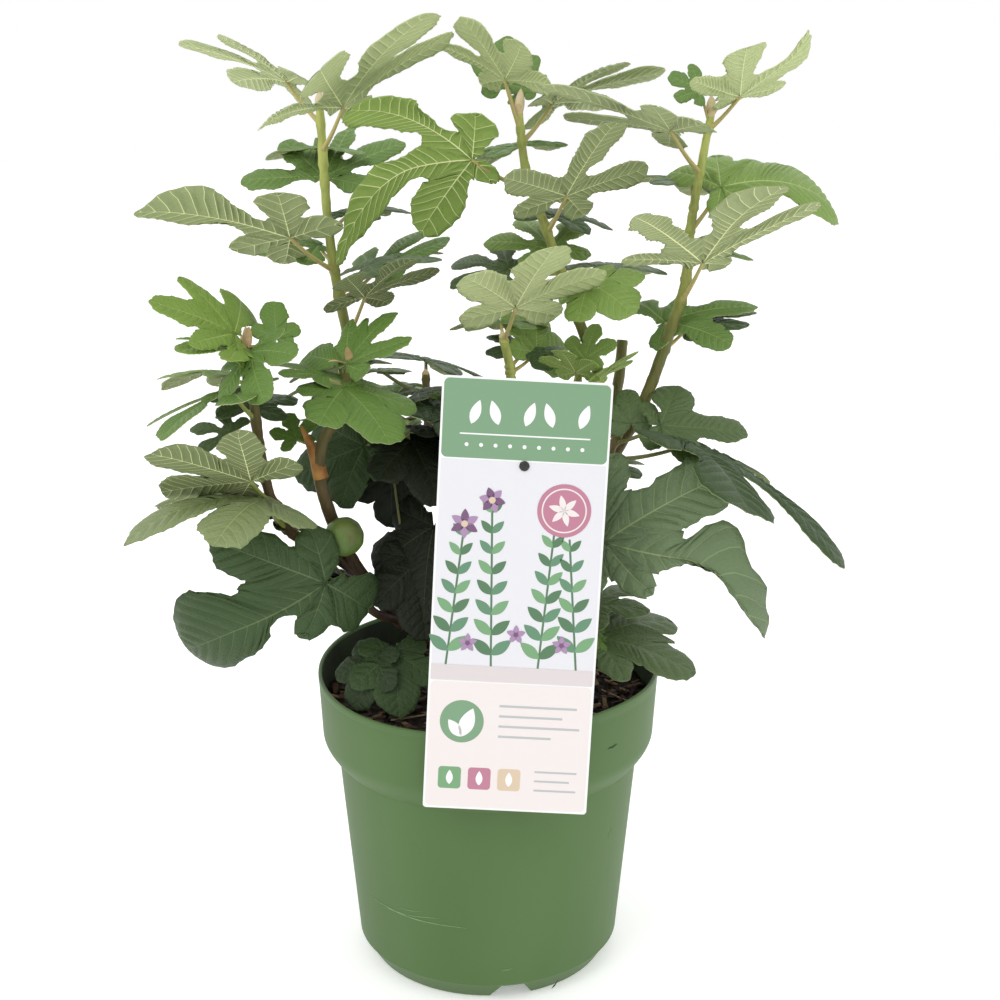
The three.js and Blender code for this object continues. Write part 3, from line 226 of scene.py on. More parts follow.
# Each mass: its limb, seed and shade, the leaves placed one by one, and the rule for the rest.
MASSES = {
    "left_top": ("left_tall", 3, "soft", [
        ("high_wing", 512, -62, 36, 42, -35, 45, -5, 88, 25),
        ("deep", 528, 138, 40, 39, 178, 28, -15, 70, 20),
        ("left_back", 492, 98, 13, 17, 77, 38, 0, 60, 10),
        ("left_wing", 440, -128, 31, 43, -150, 18, -30, 95, 15),
        ("deep", 445, 117, 19, 27, -140, 10, 15, 45, 30),
        ("deep", 422, 45, 28, 32, 56, 34, 10, 60, 20),
        ("deep", 399, -57, 49, 36, -45, 38, 0, 56, 20),
    ], (3, 405, 525, 40, 110, 50, 70)),
    "centre_top": ("centre", 5, "soft", [
        ("centre_crest", 524, -134, 65, 32, -150, 50, -10, 50, 20),
        ("high_hand", 488, -147, 24, 47, 164, -6, -50, 95, 50),
        ("deep", 517, 50, 38, 38, 8, 24, 15, 74, 20),
        ("cross", 463, -66, 42, 34, -50, 48, 10, 66, 15),
        ("deep", 444, 96, 11, 29, 117, 34, 10, 52, 30),
        ("deep", 438, 141, 0, 42, 150, 15, 25, 46, 30),
        ("broad", 411, -81, 33, 43, -58, -10, -30, 42, 30),
    ], (3, 412, 520, 40, 115, 50, 70)),
    "right_top": ("right", 7, "soft", [
        ("right_crest", 524, -38, 43, 28, -90, 27, -25, 52, 0),
        ("right_blade", 499, -132, 38, 40, -168, 20, -8, 84, 10),
        ("right_roof", 464, 6, 55, 32, 0, 15, -40, 80, 60),
        ("right_wing", 421, -69, 45, 37, -55, 38, 4, 87, 15),
        ("right_span", 405, 100, 8, 14, -14, 20, -32, 50, 30),
    ], (3, 370, 500, 40, 100, 45, 60)),
    "centre_low": ("centre_low", 11, "soft", [
        ("mid", 399, -70, 48, 30, -65, 43, 0, 68, 15),
        ("broad", 379, 48, 22, 26, 85, 45, -40, 40, 20),
    ], (2, 375, 405, 60, 160, 45, 55)),
    "centre_side": ("centre_side", 13, "bright", [
        ("mid", 372, -100, 40, 12, -120, 45, 0, 30, 20),
        ("mid", 366, -10, 30, 14, -30, 45, 0, 34, 20),
        ("mid", 380, -60, 50, 10, 60, 60, 0, 26, 20),
    ], (1, 345, 365, -40, 0, 34, 40)),
    "left_crown": ("left_low", 17, "bright", [
        ("crown_hand", 386, -96, 60, 8, 51, 43, 0, 48, 20),
        ("broad", 376, -89, 20, 13, -50, -14, 0, 54, 30),
        ("mid", 380, -170, 25, 14, 165, 20, 0, 34, 20),
    ], (3, 350, 385, 0, 140, 42, 56)),
    "left_front": ("left_side", 19, "bright", [
        ("comb", 402, -114, 42, 18, -138, 32, 40, 56, 20),
        ("mid", 399, -102, 22, 19, -132, 14, 10, 40, 20),
        ("mid", 395, -77, 24, 25, -81, -21, -35, 42, 30),
        ("oval", 403, 28, 19, 18, 104, 57, 0, 26, 20),
        ("deep", 363, -128, 47, 26, -124, -7, -15, 60, 20),
        ("mid", 313, -103, 33, 35, -145, 24, -35, 64, 5),
        ("mid", 295, -118, 46, 31, -150, 15, 0, 85, 50),
    ], (3, 320, 395, 70, 170, 40, 52)),
    "low_left": ("low_left", 23, "dark", [
        ("low_paw", 262, -109, 14, 33, -142, -32, 84, 100, 80),
    ], (2, 245, 262, 150, 200, 50, 60)),
    "inner_left": ("inner_left", 29, "dark", [
        ("broad", 340, -60, 10, 26, -60, -25, 0, 50, 30),
        ("broad", 352, -20, 20, 30, -10, -20, 0, 60, 30),
        ("broad", 336, 176, 0, 17, -176, -18, 50, 50, 30),
    ], (2, 330, 366, -30, 60, 42, 50)),
    "inner_low": ("inner_low", 53, "dark", [
        ("broad", 285, -24, 10, 23, -112, -58, 0, 60, 30),
        ("broad", 270, -60, -5, 18, -75, -55, 0, 50, 30),
    ], (1, 272, 286, 100, 140, 40, 50)),
    "foot_front": ("foot_front", 31, "dark", [
        ("broad", 205, -154, 9, 37, -120, -45, 0, 34, 20),
        ("broad", 208, -146, 12, 24, -80, -38, 0, 42, 20),
        ("broad", 232, -70, 10, 16, -60, -20, 0, 40, 40),
        ("broad", 222, 150, 10, 16, 160, 0, 10, 40, 30),
    ], (2, 222, 236, -60, 60, 40, 50)),
    "right_low": ("right_low", 37, "dark", [
        ("low_ear", 336, -24, 24, 32, 0, -5, -35, 56, 10),
        ("low_strap", 326, -25, 15, 54, -28, -15, 13, 121, 34),
        ("low_hook", 298, -81, -15, 46, -38, -15, -84, 125, 75),
        ("broad", 346, -60, 20, 8, 95, 55, 0, 26, 20),
    ], (3, 300, 344, 20, 100, 45, 60)),
    "foot_right": ("foot_right", 41, "mid", [
        ("foot_roof", 212, -4, 14, 29, -14, 0, -15, 62, 30),
    ], (2, 206, 230, 10, 60, 45, 55)),
    "back_left": ("back_left", 43, "mid", [], (7, 292, 368, 40, 220, 58, 80)),
    "back_right": ("back_right", 47, "mid", [], (6, 290, 345, 20, 170, 50, 70)),
}

# ---- Camera ----

CAMERA_PLACE = (8, -877, 516)
CAMERA_PITCH = 13.86
FOCAL_PIXELS, IMAGE_PIXELS, SENSOR = 1444, 1000, 36


def placed(name, data):
    """An object of that name in the scene."""
    made = bpy.data.objects.new(name, data)
    bpy.context.scene.collection.objects.link(made)
    return made


camera_data = bpy.data.cameras.new("camera")
camera_data.sensor_width = SENSOR
camera_data.lens = SENSOR * FOCAL_PIXELS / IMAGE_PIXELS
camera = placed("camera", camera_data)
camera.location = (np.array(CAMERA_PLACE) + SHIFT) * MM
camera.rotation_euler = (math.radians(90 - CAMERA_PITCH), 0, 0)
bpy.context.scene.camera = camera

# ---- Materials ----

# How a pattern is stretched; LENGTHWISE draws it out upwards.
EVENLY, LENGTHWISE = (1, 1, 1), (1, 1, 0.3)


def linear(colour):
    """A colour of 0 to 255 as the eye sees it, as linear light."""
    return tuple(
        c / 12.92 if c <= 0.04045 else ((c + 0.055) / 1.055) ** 2.4 for c in (v / 255 for v in colour)
    ) + (1.0,)


class Material:
    """A node material built around one Principled shader."""

    def __init__(self, name, colour, roughness, specular=0.5):
        self.made = bpy.data.materials.new(name)
        self.made.use_nodes = True
        self.made.diffuse_color = linear(colour)
        self.tree = self.made.node_tree
        self.shader = self.tree.nodes["Principled BSDF"].inputs
        self.shader["Base Color"].default_value = linear(colour)
        self.shader["Roughness"].default_value = roughness
        self.shader["Specular IOR Level"].default_value = specular
        self.coordinates = self.tree.nodes.new("ShaderNodeTexCoord").outputs["Object"]
        self.relief = None

    def feed(self, socket, value):
        """Links an input to another node's output, or sets it to a value."""
        if isinstance(value, bpy.types.NodeSocket):
            self.tree.links.new(value, socket)
        else:
            socket.default_value = value

    def node(self, kind, **values):
        """A node with those settings and inputs."""
        made = self.tree.nodes.new(kind)
        for name, value in values.items():
            if name in made.inputs:
                self.feed(made.inputs[name], value)
            else:
                setattr(made, name, value)
        return made

    def noise(self, scale, detail=3.0, stretch=EVENLY, roughness=0.5):
        place = self.node("ShaderNodeMapping", Scale=stretch, Vector=self.coordinates).outputs["Vector"]
        return self.node(
            "ShaderNodeTexNoise", Scale=scale, Detail=detail, Roughness=roughness, Vector=place
        ).outputs["Fac"]

    def cells(self, scale, line):
        """A net of cells: 0 on its lines, rising to 1 beside them. line is a share of a cell."""
        made = self.node(
            "ShaderNodeTexVoronoi", feature="DISTANCE_TO_EDGE", Scale=scale, Vector=self.coordinates
        )
        return self.math("MINIMUM", self.math("DIVIDE", made.outputs["Distance"], line), 1.0)

    def ramp(self, factor, stops):
        made = self.node("ShaderNodeValToRGB", Fac=factor)
        elements = made.color_ramp.elements
        while len(elements) < len(stops):
            elements.new(0.5)
        for element, (place, colour) in zip(elements, stops):
            element.position = place
            element.color = linear(colour)
        return made.outputs["Color"]

    def mix(self, factor, a, b, blend="MIX"):
        made = self.node("ShaderNodeMix", data_type="RGBA", blend_type=blend)
        for socket, value in zip([s for s in made.inputs if s.enabled], (factor, a, b)):
            self.feed(socket, value)
        return [s for s in made.outputs if s.enabled][0]

    def math(self, operation, a, b):
        made = self.node("ShaderNodeMath", operation=operation)
        self.feed(made.inputs[0], a)
        self.feed(made.inputs[1], b)
        return made.outputs[0]

    def colour(self, socket):
        self.feed(self.shader["Base Color"], socket)

    def bump(self, factor, distance):
        """Adds a bump of that depth in metres on top of those there."""
        made = self.node(
            "ShaderNodeBump", Strength=1.0, Distance=abs(distance), invert=distance < 0, Height=factor
        )
        if self.relief is not None:
            self.feed(made.inputs["Normal"], self.relief)
        self.relief = made.outputs["Normal"]
        self.feed(self.shader["Normal"], self.relief)


def mottled(name, colour, roughness, specular, patches, stops, *bumps):
    """A material of a few tones in patches under relief. patches and the start of each bump are a noise's
    scale to a metre, detail, stretch and roughness; a bump ends with its depth in metres."""
    made = Material(name, colour, roughness, specular)
    if patches:
        made.colour(made.ramp(made.noise(*patches), stops))
    for *relief, depth in bumps:
        made.bump(made.noise(*relief), depth)
    return made.made


NET_CELLS, NET_LINE = 330, 0.3  # cells to a metre, and their lines' share
GRAIN, FINE_GRAIN = 0.00012, 0.00003
DARK_GREEN = 80  # a leaf whose green is below this has the duller sheen
BRIGHT_SHEEN, DULL_SHEEN = 0.35, 0.2


def leaf_material(name, colour, roughness, net=0, grain=GRAIN):
    """A plain colour under fine relief, with a net of the finest veins: sunk where net is below zero."""
    made = Material(name, colour, roughness, BRIGHT_SHEEN if colour[1] > DARK_GREEN else DULL_SHEEN)
    made.bump(made.noise(900, 4), grain)
    made.bump(made.noise(220, 2), grain * 1.3)
    if net:
        made.bump(made.cells(NET_CELLS, NET_LINE), -net)
    return made.made


# Plain colours of a leaf's top and underside. The tops shadow, moss and dim are painted shade for
# leaves deep inside or under the plant.
LEAF_TOPS = dict(
    shadow=(28, 35, 22), moss=(50, 66, 40), dim=(60, 80, 47), deep=(66, 88, 50), dark=(84, 104, 64),
    grey=(98, 118, 82), soft=(130, 144, 98), leaf=(104, 134, 68), fresh=(124, 152, 76), grass=(94, 125, 54),
    spring=(114, 143, 58),
)
# The undersides gloom and shade are painted shade, and lit is painted light shining through a leaf.
LEAF_UNDERS = dict(
    gloom=(36, 43, 28), shade=(124, 136, 92), dull=(153, 165, 116), cool=(179, 190, 141),
    pale=(182, 194, 140), lit=(142, 168, 86),
)
# Each side's pale vein, how far its blade, its side veins and its ribs go towards that colour, its roughness
# and the depth of its finest net.
SIDES = {
    "top": ((206, 214, 150), (0, 0.36, 0.62), 0.5, -0.0002),
    "under": ((240, 245, 184), (0, 0.78, 0.95), 0.75, 0.0002),
}
# A leaf's green below which its veins are dull too, and over how many steps they brighten.
VEIN_DULL, VEIN_RISE, VEIN_LEAST = 92, 45, 0.3


def tone(side, name, colour, has_net=True):
    """The three materials of one side of a leaf: its blade, its side veins and its ribs."""
    pale, shares, roughness, net = SIDES[side]
    bright = min(1.0, max(VEIN_LEAST, (colour[1] - VEIN_DULL) / VEIN_RISE))
    return [
        leaf_material(
            f"leaf_{side}_{name}_{kind}",
            tuple(c + (p - c) * (share * bright) for c, p in zip(colour, pale)),
            roughness,
            net if has_net and kind == "blade" else 0,
            GRAIN if has_net else FINE_GRAIN,
        )
        for kind, share in zip(("blade", "vein", "rib"), shares)
    ]


TOPS = {name: tone("top", name, colour) for name, colour in LEAF_TOPS.items()}
UNDERS = {name: tone("under", name, colour) for name, colour in LEAF_UNDERS.items()}
# A leaf that is seen along its blade has neither net nor grain.
TOPS["smooth"] = tone("top", "smooth", LEAF_TOPS["soft"], False)
UNDERS["smooth"] = tone("under", "smooth", LEAF_UNDERS["cool"], False)
STALKS = {
    "green": leaf_material("leaf_stalk_green", (150, 160, 86), 0.5),
    "warm": leaf_material("leaf_stalk_warm", (182, 170, 108), 0.5),
    "dull": leaf_material("leaf_stalk_dull", (116, 118, 74), 0.6),
}

# Brown to green up a limb, as young bark is; the greenest stops are also lightened, painted light on the lit
# shoot tops.
BARK_TONES_WITH_PAINTED_LIGHT = [
    (0.0, (52, 38, 30)), (0.28, (78, 58, 40)), (0.45, (98, 84, 44)), (0.62, (108, 112, 50)),
    (0.74, (148, 154, 76)), (0.88, (178, 186, 98)),
]
BARK_SPAN = 0.36  # metres from brown to the greenest
WHITE = (255, 255, 255)


def limb_material(name, brown_height):
    """Young bark: brown at its foot and green from brown_height on, in metres; its highest greens are also
    lightened as painted light.
    """
    made = Material(name, (110, 120, 60), 0.5, 0.4)
    height = made.node("ShaderNodeSeparateXYZ", Vector=made.coordinates)
    wander = made.math("MULTIPLY", made.noise(30, 3), 0.09)
    rise = made.math("ADD", height.outputs["Z"], wander)
    share = made.math("MULTIPLY", made.math("SUBTRACT", rise, brown_height), 1 / BARK_SPAN)
    streaks = made.ramp(made.noise(70, 5, (3, 3, 0.6), 0.6), [(0.35, (60, 46, 34)), (0.6, WHITE)])
    made.colour(made.mix(0.35, made.ramp(share, BARK_TONES_WITH_PAINTED_LIGHT), streaks, "MULTIPLY"))
    made.bump(made.noise(420, 5, (1, 1, 0.35)), 0.0006)
    made.bump(made.noise(1500, 3), 0.0002)
    return made.made


LIMB_SKIN = limb_material("limb_skin", 0.22)
GREEN_SKIN = limb_material("young_limb_skin", 0.11)
BUD = mottled("bud_scale", (204, 186, 142), 0.55, 0.3, (120, 3),
              [(0.3, (186, 164, 118)), (0.7, (222, 206, 166))], (500, 3, LENGTHWISE, 0.0003))
SCALE_SKINS = [
    mottled(name, dark, 0.6, 0.3, (110, 4), [(0.32, dark), (0.68, light)], (480, 3, LENGTHWISE, 0.0003))
    for name, dark, light in (
        ("stipule", (214, 196, 150), (236, 216, 186)),
        ("dried_scale", (180, 152, 108), (224, 200, 160)),
        ("rust_sheath", (138, 94, 48), (196, 144, 78)),
    )
]
CUT_END = mottled("cut_end", (62, 48, 38), 0.8, 0.5, (300, 4), [(0.35, (40, 32, 28)), (0.7, (92, 72, 54))],
                  (700, 4, 0.0006))

fig_skin = Material("fig_skin", (126, 150, 84), 0.42, 0.45)
fig_light = fig_skin.ramp(fig_skin.noise(60, 3), [(0.3, (66, 94, 34)), (0.7, (92, 122, 48))])
fig_blush = fig_skin.ramp(fig_skin.noise(62, 2), [(0.44, (0, 0, 0)), (0.68, (150, 150, 150))])
fig_skin.colour(fig_skin.mix(fig_blush, fig_light, linear((104, 66, 50))))
fig_skin.bump(fig_skin.noise(400, 3), 0.0004)

POT_PLASTIC = mottled("pot_plastic", (88, 118, 72), 0.52, 0.28, (9, 3, (1, 1, 0.4)),
                      [(0.25, (75, 102, 57)), (0.75, (85, 113, 66))],
                      (600, 3, 0.00008), (14, 2, (1, 1, 0.5), 0.0012))
# The inside of the wall is painted dark: painted shade inside the pot.
POT_INNER_PAINTED_SHADE = mottled("pot_inner_wall_painted_shade", (40, 52, 34), 0.6, 0.3, (40, 4, (1, 1, 0.5)),
                    [(0.3, (30, 38, 26)), (0.75, (52, 66, 42))], (500, 3, 0.0002))
SCUFF_SKINS = [
    mottled(name, dark, 0.7, 0.2, (260, 3), [(0.35, dark), (0.65, light)], (900, 3, 0.0001))
    for name, dark, light in (
        ("pale_scuff", (112, 140, 92), (134, 160, 114)),
        ("dark_scuff", (44, 60, 36), (58, 78, 46)),
    )
]
SOIL_CRUMB = mottled("soil_crumb", (48, 38, 30), 0.95, 0.2, (160, 6, EVENLY, 0.7),
                     [(0.3, (20, 16, 13)), (0.55, (42, 32, 26)), (0.8, (70, 55, 42))],
                     (260, 6, EVENLY, 0.7, 0.004))
CHIPS = [
    mottled(name, dark, 0.85, 0.25, (240, 4), [(0.3, dark), (0.7, light)], (500, 4, 0.0008))
    for name, dark, light in (
        ("chip_dark", (34, 25, 20), (58, 43, 33)),
        ("chip_brown", (62, 43, 31), (92, 66, 48)),
        ("chip_tan", (104, 80, 56), (136, 110, 80)),
        ("straw", (136, 118, 88), (166, 148, 116)),
    )
]
INKS = dict(
    white=(232, 233, 232), green=(116, 151, 117), deep_green=(92, 134, 104), leaf_green=(112, 156, 112),
    moss=(78, 116, 82), sky=(216, 216, 220), rose=(180, 118, 140), blush=(224, 216, 214),
    plum=(112, 78, 112), lilac=(160, 130, 164), grey=(176, 180, 180), sand=(206, 186, 160),
    clay=(208, 200, 200),
)
CARD_SKINS = [
    mottled("card_" + ink, colour, 0.38, 0.5, None, None, (1400, 2, 0.00003)) for ink, colour in INKS.items()
]
BLACK_PLASTIC = mottled("black_plastic", (30, 30, 30), 0.4, 0.5, None, None, (900, 3, 0.0001))

# ---- Curves ----


def direction(heading, rise=0):
    """The way of a heading and a rise in degrees, one long."""
    h, r = math.radians(heading), math.radians(rise)
    return np.array([math.cos(r) * math.cos(h), math.cos(r) * math.sin(h), math.sin(r)])


def to_unit(vector):
    return vector / np.linalg.norm(vector)


class Path:
    """A Catmull-Rom curve with tension one half, by its parameter from 0 to 1."""

    def __init__(self, points):
        self.points = np.array(points, float)

    def at(self, place):
        p = self.points
        last = len(p) - 1
        whole = min(int(math.floor(last * place)), last - 1)
        w = last * place - whole
        a = p[whole - 1] if whole > 0 else 2 * p[0] - p[1]
        b, c = p[whole], p[whole + 1]
        d = p[whole + 2] if whole + 2 <= last else 2 * p[last] - p[last - 1]
        t0, t1 = 0.5 * (c - a), 0.5 * (d - b)
        return b + t0 * w + (-3 * b + 3 * c - 2 * t0 - t1) * w**2 + (2 * b - 2 * c + t0 + t1) * w**3

    def place_at_height(self, height):
        low, high = 0.0, 1.0
        for _ in range(30):
            middle = (low + high) / 2
            if self.at(middle)[2] < height:
                low = middle
            else:
                high = middle
        return (low + high) / 2


TRUNK_BURIED, BARK_BURIED = 6, 4  # how far the trunk's line and its bark go down into the soil

# Each limb's middle line, by its name.
lines = {"trunk": Path([
    (TRUNK["x"], TRUNK["y"], SOIL["height"] - TRUNK_BURIED),
    (TRUNK["x"] + TRUNK["lean"], TRUNK["y"], TRUNK["fork_height"]),
])}
for name, (parent, leaves_at, _, _, points) in LIMBS.items():
    start = lines[parent].at(lines[parent].place_at_height(leaves_at))
    lines[name] = Path([start, *points])


def limb_radius(name, place):
    foot, tip = LIMBS[name][2:4]
    return foot + (tip - foot) * place**0.8


# ---- Making pieces ----


def make_piece(name, points, faces, materials, indices=None, smooth=True, slot=None, replaces=()):
    """A mesh object from points in millimetres round the pot's axis, riding on the one body."""
    mesh = bpy.data.meshes.new(name)
    points = (np.asarray(points, float) + SHIFT) * MM
    if isinstance(faces, np.ndarray):
        corners = faces.shape[1]
        mesh.vertices.add(len(points))
        mesh.vertices.foreach_set("co", points.astype(np.float32).ravel())
        mesh.loops.add(faces.size)
        mesh.loops.foreach_set("vertex_index", faces.astype(np.int32).ravel())
        mesh.polygons.add(len(faces))
        mesh.polygons.foreach_set("loop_start", np.arange(0, faces.size, corners, dtype=np.int32))
    else:
        mesh.from_pydata(points.tolist(), [], faces)
    for material in materials:
        mesh.materials.append(material)
    if indices is not None:
        mesh.polygons.foreach_set("material_index", np.asarray(indices, np.int32))
    mesh.update(calc_edges=True)
    mesh.validate()
    mesh.polygons.foreach_set("use_smooth", np.full(len(mesh.polygons), smooth))
    made = placed(name, mesh)
    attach(made, "root")
    if replaces:
        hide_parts(*replaces)
    return made


class Heap:
    """Points and faces of as many corners each, with material numbers, gathered into one mesh."""

    def __init__(self):
        self.points, self.faces, self.kinds, self.count = [], [], [], 0

    def add(self, points, faces, kinds=0):
        self.points.append(np.asarray(points, float))
        self.faces.append(np.asarray(faces, int) + self.count)
        self.kinds.append(np.broadcast_to(kinds, len(faces)))
        self.count += len(points)

    def piece(self, name, materials, **more):
        points, faces, kinds = (np.concatenate(rows) for rows in (self.points, self.faces, self.kinds))
        return make_piece(name, points, faces, materials, kinds, **more)


def ring_faces(rings, sides, closed=False):
    """The faces between rings of points, and from the last ring back to the first if closed."""
    i, j = np.meshgrid(np.arange(rings if closed else rings - 1), np.arange(sides), indexing="ij")
    n, k = (i + 1) % rings, (j + 1) % sides
    return np.stack([i * sides + j, n * sides + j, n * sides + k, i * sides + k], -1).reshape(-1, 4)


def full_turn(sides):
    """Angles in radians, once round."""
    return np.arange(sides) * 2 * math.pi / sides


BOX_FACES = np.array([[0, 1, 2, 3], [7, 6, 5, 4], [0, 4, 5, 1], [1, 5, 6, 2], [2, 6, 7, 3], [3, 7, 4, 0]])
NEARLY_NONE = 1e-4  # the radius at which a shape closes to a point


def tube(points, radii, sides):
    """A closed tube as points and faces; radii may be one for each point and side. Its sides don't twist."""
    points = np.asarray(points, float)
    radii = np.asarray(radii, float)
    if radii.ndim == 1:
        radii = np.repeat(radii[:, None], sides, 1)
    tangents = np.gradient(points, axis=0)
    tangents /= np.linalg.norm(tangents, axis=1)[:, None]
    side = np.cross(tangents[0], [0, 1.0, 0] if abs(tangents[0][1]) < 0.8 else [1.0, 0, 0])
    right = []
    for tangent in tangents:
        side = to_unit(side - tangent * (side @ tangent))
        right.append(side)
    right = np.array(right)
    other = np.cross(right, tangents)
    turns = full_turn(sides)
    ring = np.cos(turns)[None, :, None] * right[:, None] + np.sin(turns)[None, :, None] * other[:, None]
    grid = np.concatenate([
        points[:1, None] + ring[:1] * NEARLY_NONE,
        points[:, None] + ring * radii[:, :, None],
        points[-1:, None] + ring[-1:] * NEARLY_NONE,
    ])
    return grid.reshape(-1, 3), ring_faces(len(grid), sides)


def turned(profile, sides, closed=True):
    """A profile of radius and height turned about the vertical, as points and faces."""
    profile = np.array(profile, float)
    turns = full_turn(sides)
    r = np.maximum(profile[:, :1], NEARLY_NONE)
    grid = np.stack([r * np.cos(turns), r * np.sin(turns), np.repeat(profile[:, 1:], sides, 1)], -1)
    return grid.reshape(-1, 3), ring_faces(len(profile), sides, closed)[:, [0, 3, 2, 1]]


# ---- The leaf ----


def unit(degrees):
    """The flat way of that many degrees to the right of a leaf's middle line."""
    return np.array([math.sin(math.radians(degrees)), math.cos(math.radians(degrees))])


def bezier(a, b, c, d, t):
    t = np.asarray(t)[:, None]
    return (1 - t) ** 3 * a + 3 * (1 - t) ** 2 * t * b + 3 * (1 - t) * t**2 * c + t**3 * d


# In lengths of the leaf. The rib's and veins' half widths, and the share that a vein keeps at the margin.
RIB_HALF_WIDTH, VEIN_HALF_WIDTH, VEIN_TAPER = 0.0072, 0.0032, 0.6
TOOTH, TOOTH_LEVEL = 0.0045, 0.35  # how far a tooth stands out, and its share inside the margin
COLUMNS = [0.15, 0.36, 0.6, 0.82, 1.0]  # the places across a half lobe, after its rib
# Side veins to a leaf's length along a lobe and in the web between lobes, on the leaves placed one by one
# and on the rest.
VEINS = {True: (18, 9), False: (9, 4.5)}
FORWARD = 0.9  # how far a side vein rises forward for each step out
FIRST_VEIN = 0.62  # where in its stretch a side vein lies
TIP_ROWS = (0.34, 0.2, 0.08)  # rows beyond the last side vein, as shares of a stretch from the tip
MARGIN_STEPS = 40
# The handles of the margin's two curves: at the notch, before and after the widest place, and at the tip.
NOTCH_HANDLE, BEFORE_HANDLE, AFTER_HANDLE, TIP_HANDLE, TIP_SLOPE = 0.34, 0.42, 0.5, 0.62, 0.01
WELD = 20000  # steps to a leaf's length that are told apart
BLADE, VEIN, RIB = 0, 1, 2


def side_rows(part, count, between):
    """The rows across the lobe's neck or its margin part: each side vein has two close rows, with a few
    between two veins. Gives (part, place from 0 to 1, shares of a vein's half width to add, phase between
    veins, is the strip after it a vein)."""
    rows = []
    for vein in range(count):
        centre = (vein + FIRST_VEIN) / count
        before = (vein - 1 + FIRST_VEIN) / count if vein else 0.0
        for step in range(1, between + 1):
            share = step / (between + 1)
            rows.append((part, before + (centre - before) * share, 0.0, share, False))
        rows += [(part, centre, -1.0, 0.0, True), (part, centre, 1.0, 0.0, False)]
    return rows


def notches_of(form, index):
    """The notches on the left and the right of a lobe, each as its angle and its distance."""
    lobes, notches, foot = FORMS[form]
    angle = lobes[index][0]
    beside = {}
    for side in (-1, 1):
        other = index + side
        if 0 <= other < len(lobes):
            beside[side] = ((angle + lobes[other][0]) / 2, notches[min(index, other)])
        else:
            beside[side] = (angle + side * LAST_NOTCH_TURN, foot)
    return beside


def lobe_values(form, index):
    """A lobe's angle, length, half width, widest place, swing and skew."""
    return (*FORMS[form][0][index], 0, 0)[:6]


def swung(form, index, points):
    """Moves a lobe's places sideways by its swing, more and more beyond its notches."""
    angle, length, _, _, swing, _ = lobe_values(form, index)
    held = max(reach for _, reach in notches_of(form, index).values())
    if not swing:
        return points
    share = np.maximum(0.0, (points @ unit(angle) - held) / (length - held))
    return points + np.outer(swing * length * share**2, unit(angle + 90))


class Margin:
    """The margin of a lobe's left or right half, from its notch to its tip."""

    def __init__(self, form, index, side):
        angle, length, half_width, widest, _, skew = lobe_values(form, index)
        notch_angle, self.reach = notches_of(form, index)[side]
        self.side, self.axis, self.across = side, unit(angle), unit(angle + 90) * side
        self.notch = unit(notch_angle) * self.reach
        out = half_width * (1 + side * skew)
        wide, tip = self.axis * length * widest + self.across * out, self.axis * length
        inner, end = np.linalg.norm(wide - self.notch), np.linalg.norm(tip - wide)
        fine = np.linspace(0, 1, MARGIN_STEPS)
        rise = bezier(self.notch, self.notch - unit(notch_angle + 90) * side * inner * NOTCH_HANDLE,
                      wide - self.axis * inner * BEFORE_HANDLE, wide, fine)
        close = bezier(wide, wide + self.axis * end * AFTER_HANDLE,
                       tip + self.across * out * TIP_HANDLE - self.axis * TIP_SLOPE, tip, fine)
        self.line = np.concatenate([rise, close[1:]])
        steps = np.linalg.norm(np.diff(self.line, axis=0), axis=1)
        self.along = np.concatenate([[0], np.cumsum(steps)])

    def at(self, distance):
        return np.array([np.interp(distance, self.along, self.line[:, 0]),
                         np.interp(distance, self.along, self.line[:, 1])])

    def spot(self, part, place, pair, phase):
        """Where a row ends: on the way to the notch, or on the toothed margin."""
        if part == "neck":
            return self.notch * (place + pair * VEIN_HALF_WIDTH * 0.5 / np.linalg.norm(self.notch))
        distance = place * self.along[-1] + pair * VEIN_HALF_WIDTH * VEIN_TAPER
        spot = self.at(distance)
        if not 0 < place < 1:
            return spot
        ahead = self.at(distance + 0.01) - spot
        out = np.array([ahead[1], -ahead[0]]) * self.side
        out /= max(np.linalg.norm(out), 1e-9)
        tooth = math.cos(2 * math.pi * phase) if phase else 1.0
        return spot + out * TOOTH * (tooth - TOOTH_LEVEL) * min(1, 6 * (1 - place))

    def foot(self, spot):
        """How far along the rib the vein to that spot starts."""
        return max(spot @ self.axis - abs(spot @ self.across) * FORWARD, 0.0)


def rib_feet(rows, outlines, length):
    """Where each row starts on the rib, from 0 to 1: the mean of both halves, with even veins."""
    shares = []
    for margin, spots in outlines:
        feet = [margin.foot(spot) for spot in spots]
        starts = np.maximum.accumulate(np.array(feet) + np.arange(len(feet)) * 1e-4)
        shares.append(starts / starts[-1])
    feet = (shares[0] + shares[1]) / 2
    width = VEIN_HALF_WIDTH / length
    for i, row in enumerate(rows):
        if row[2] < 0:
            centre = (feet[i] + feet[i + 1]) / 2
            feet[i], feet[i + 1] = centre - width, centre + width
    feet = np.maximum.accumulate(np.clip(feet, 0.004, 1.0))
    feet[-1] = 1.0
    return feet


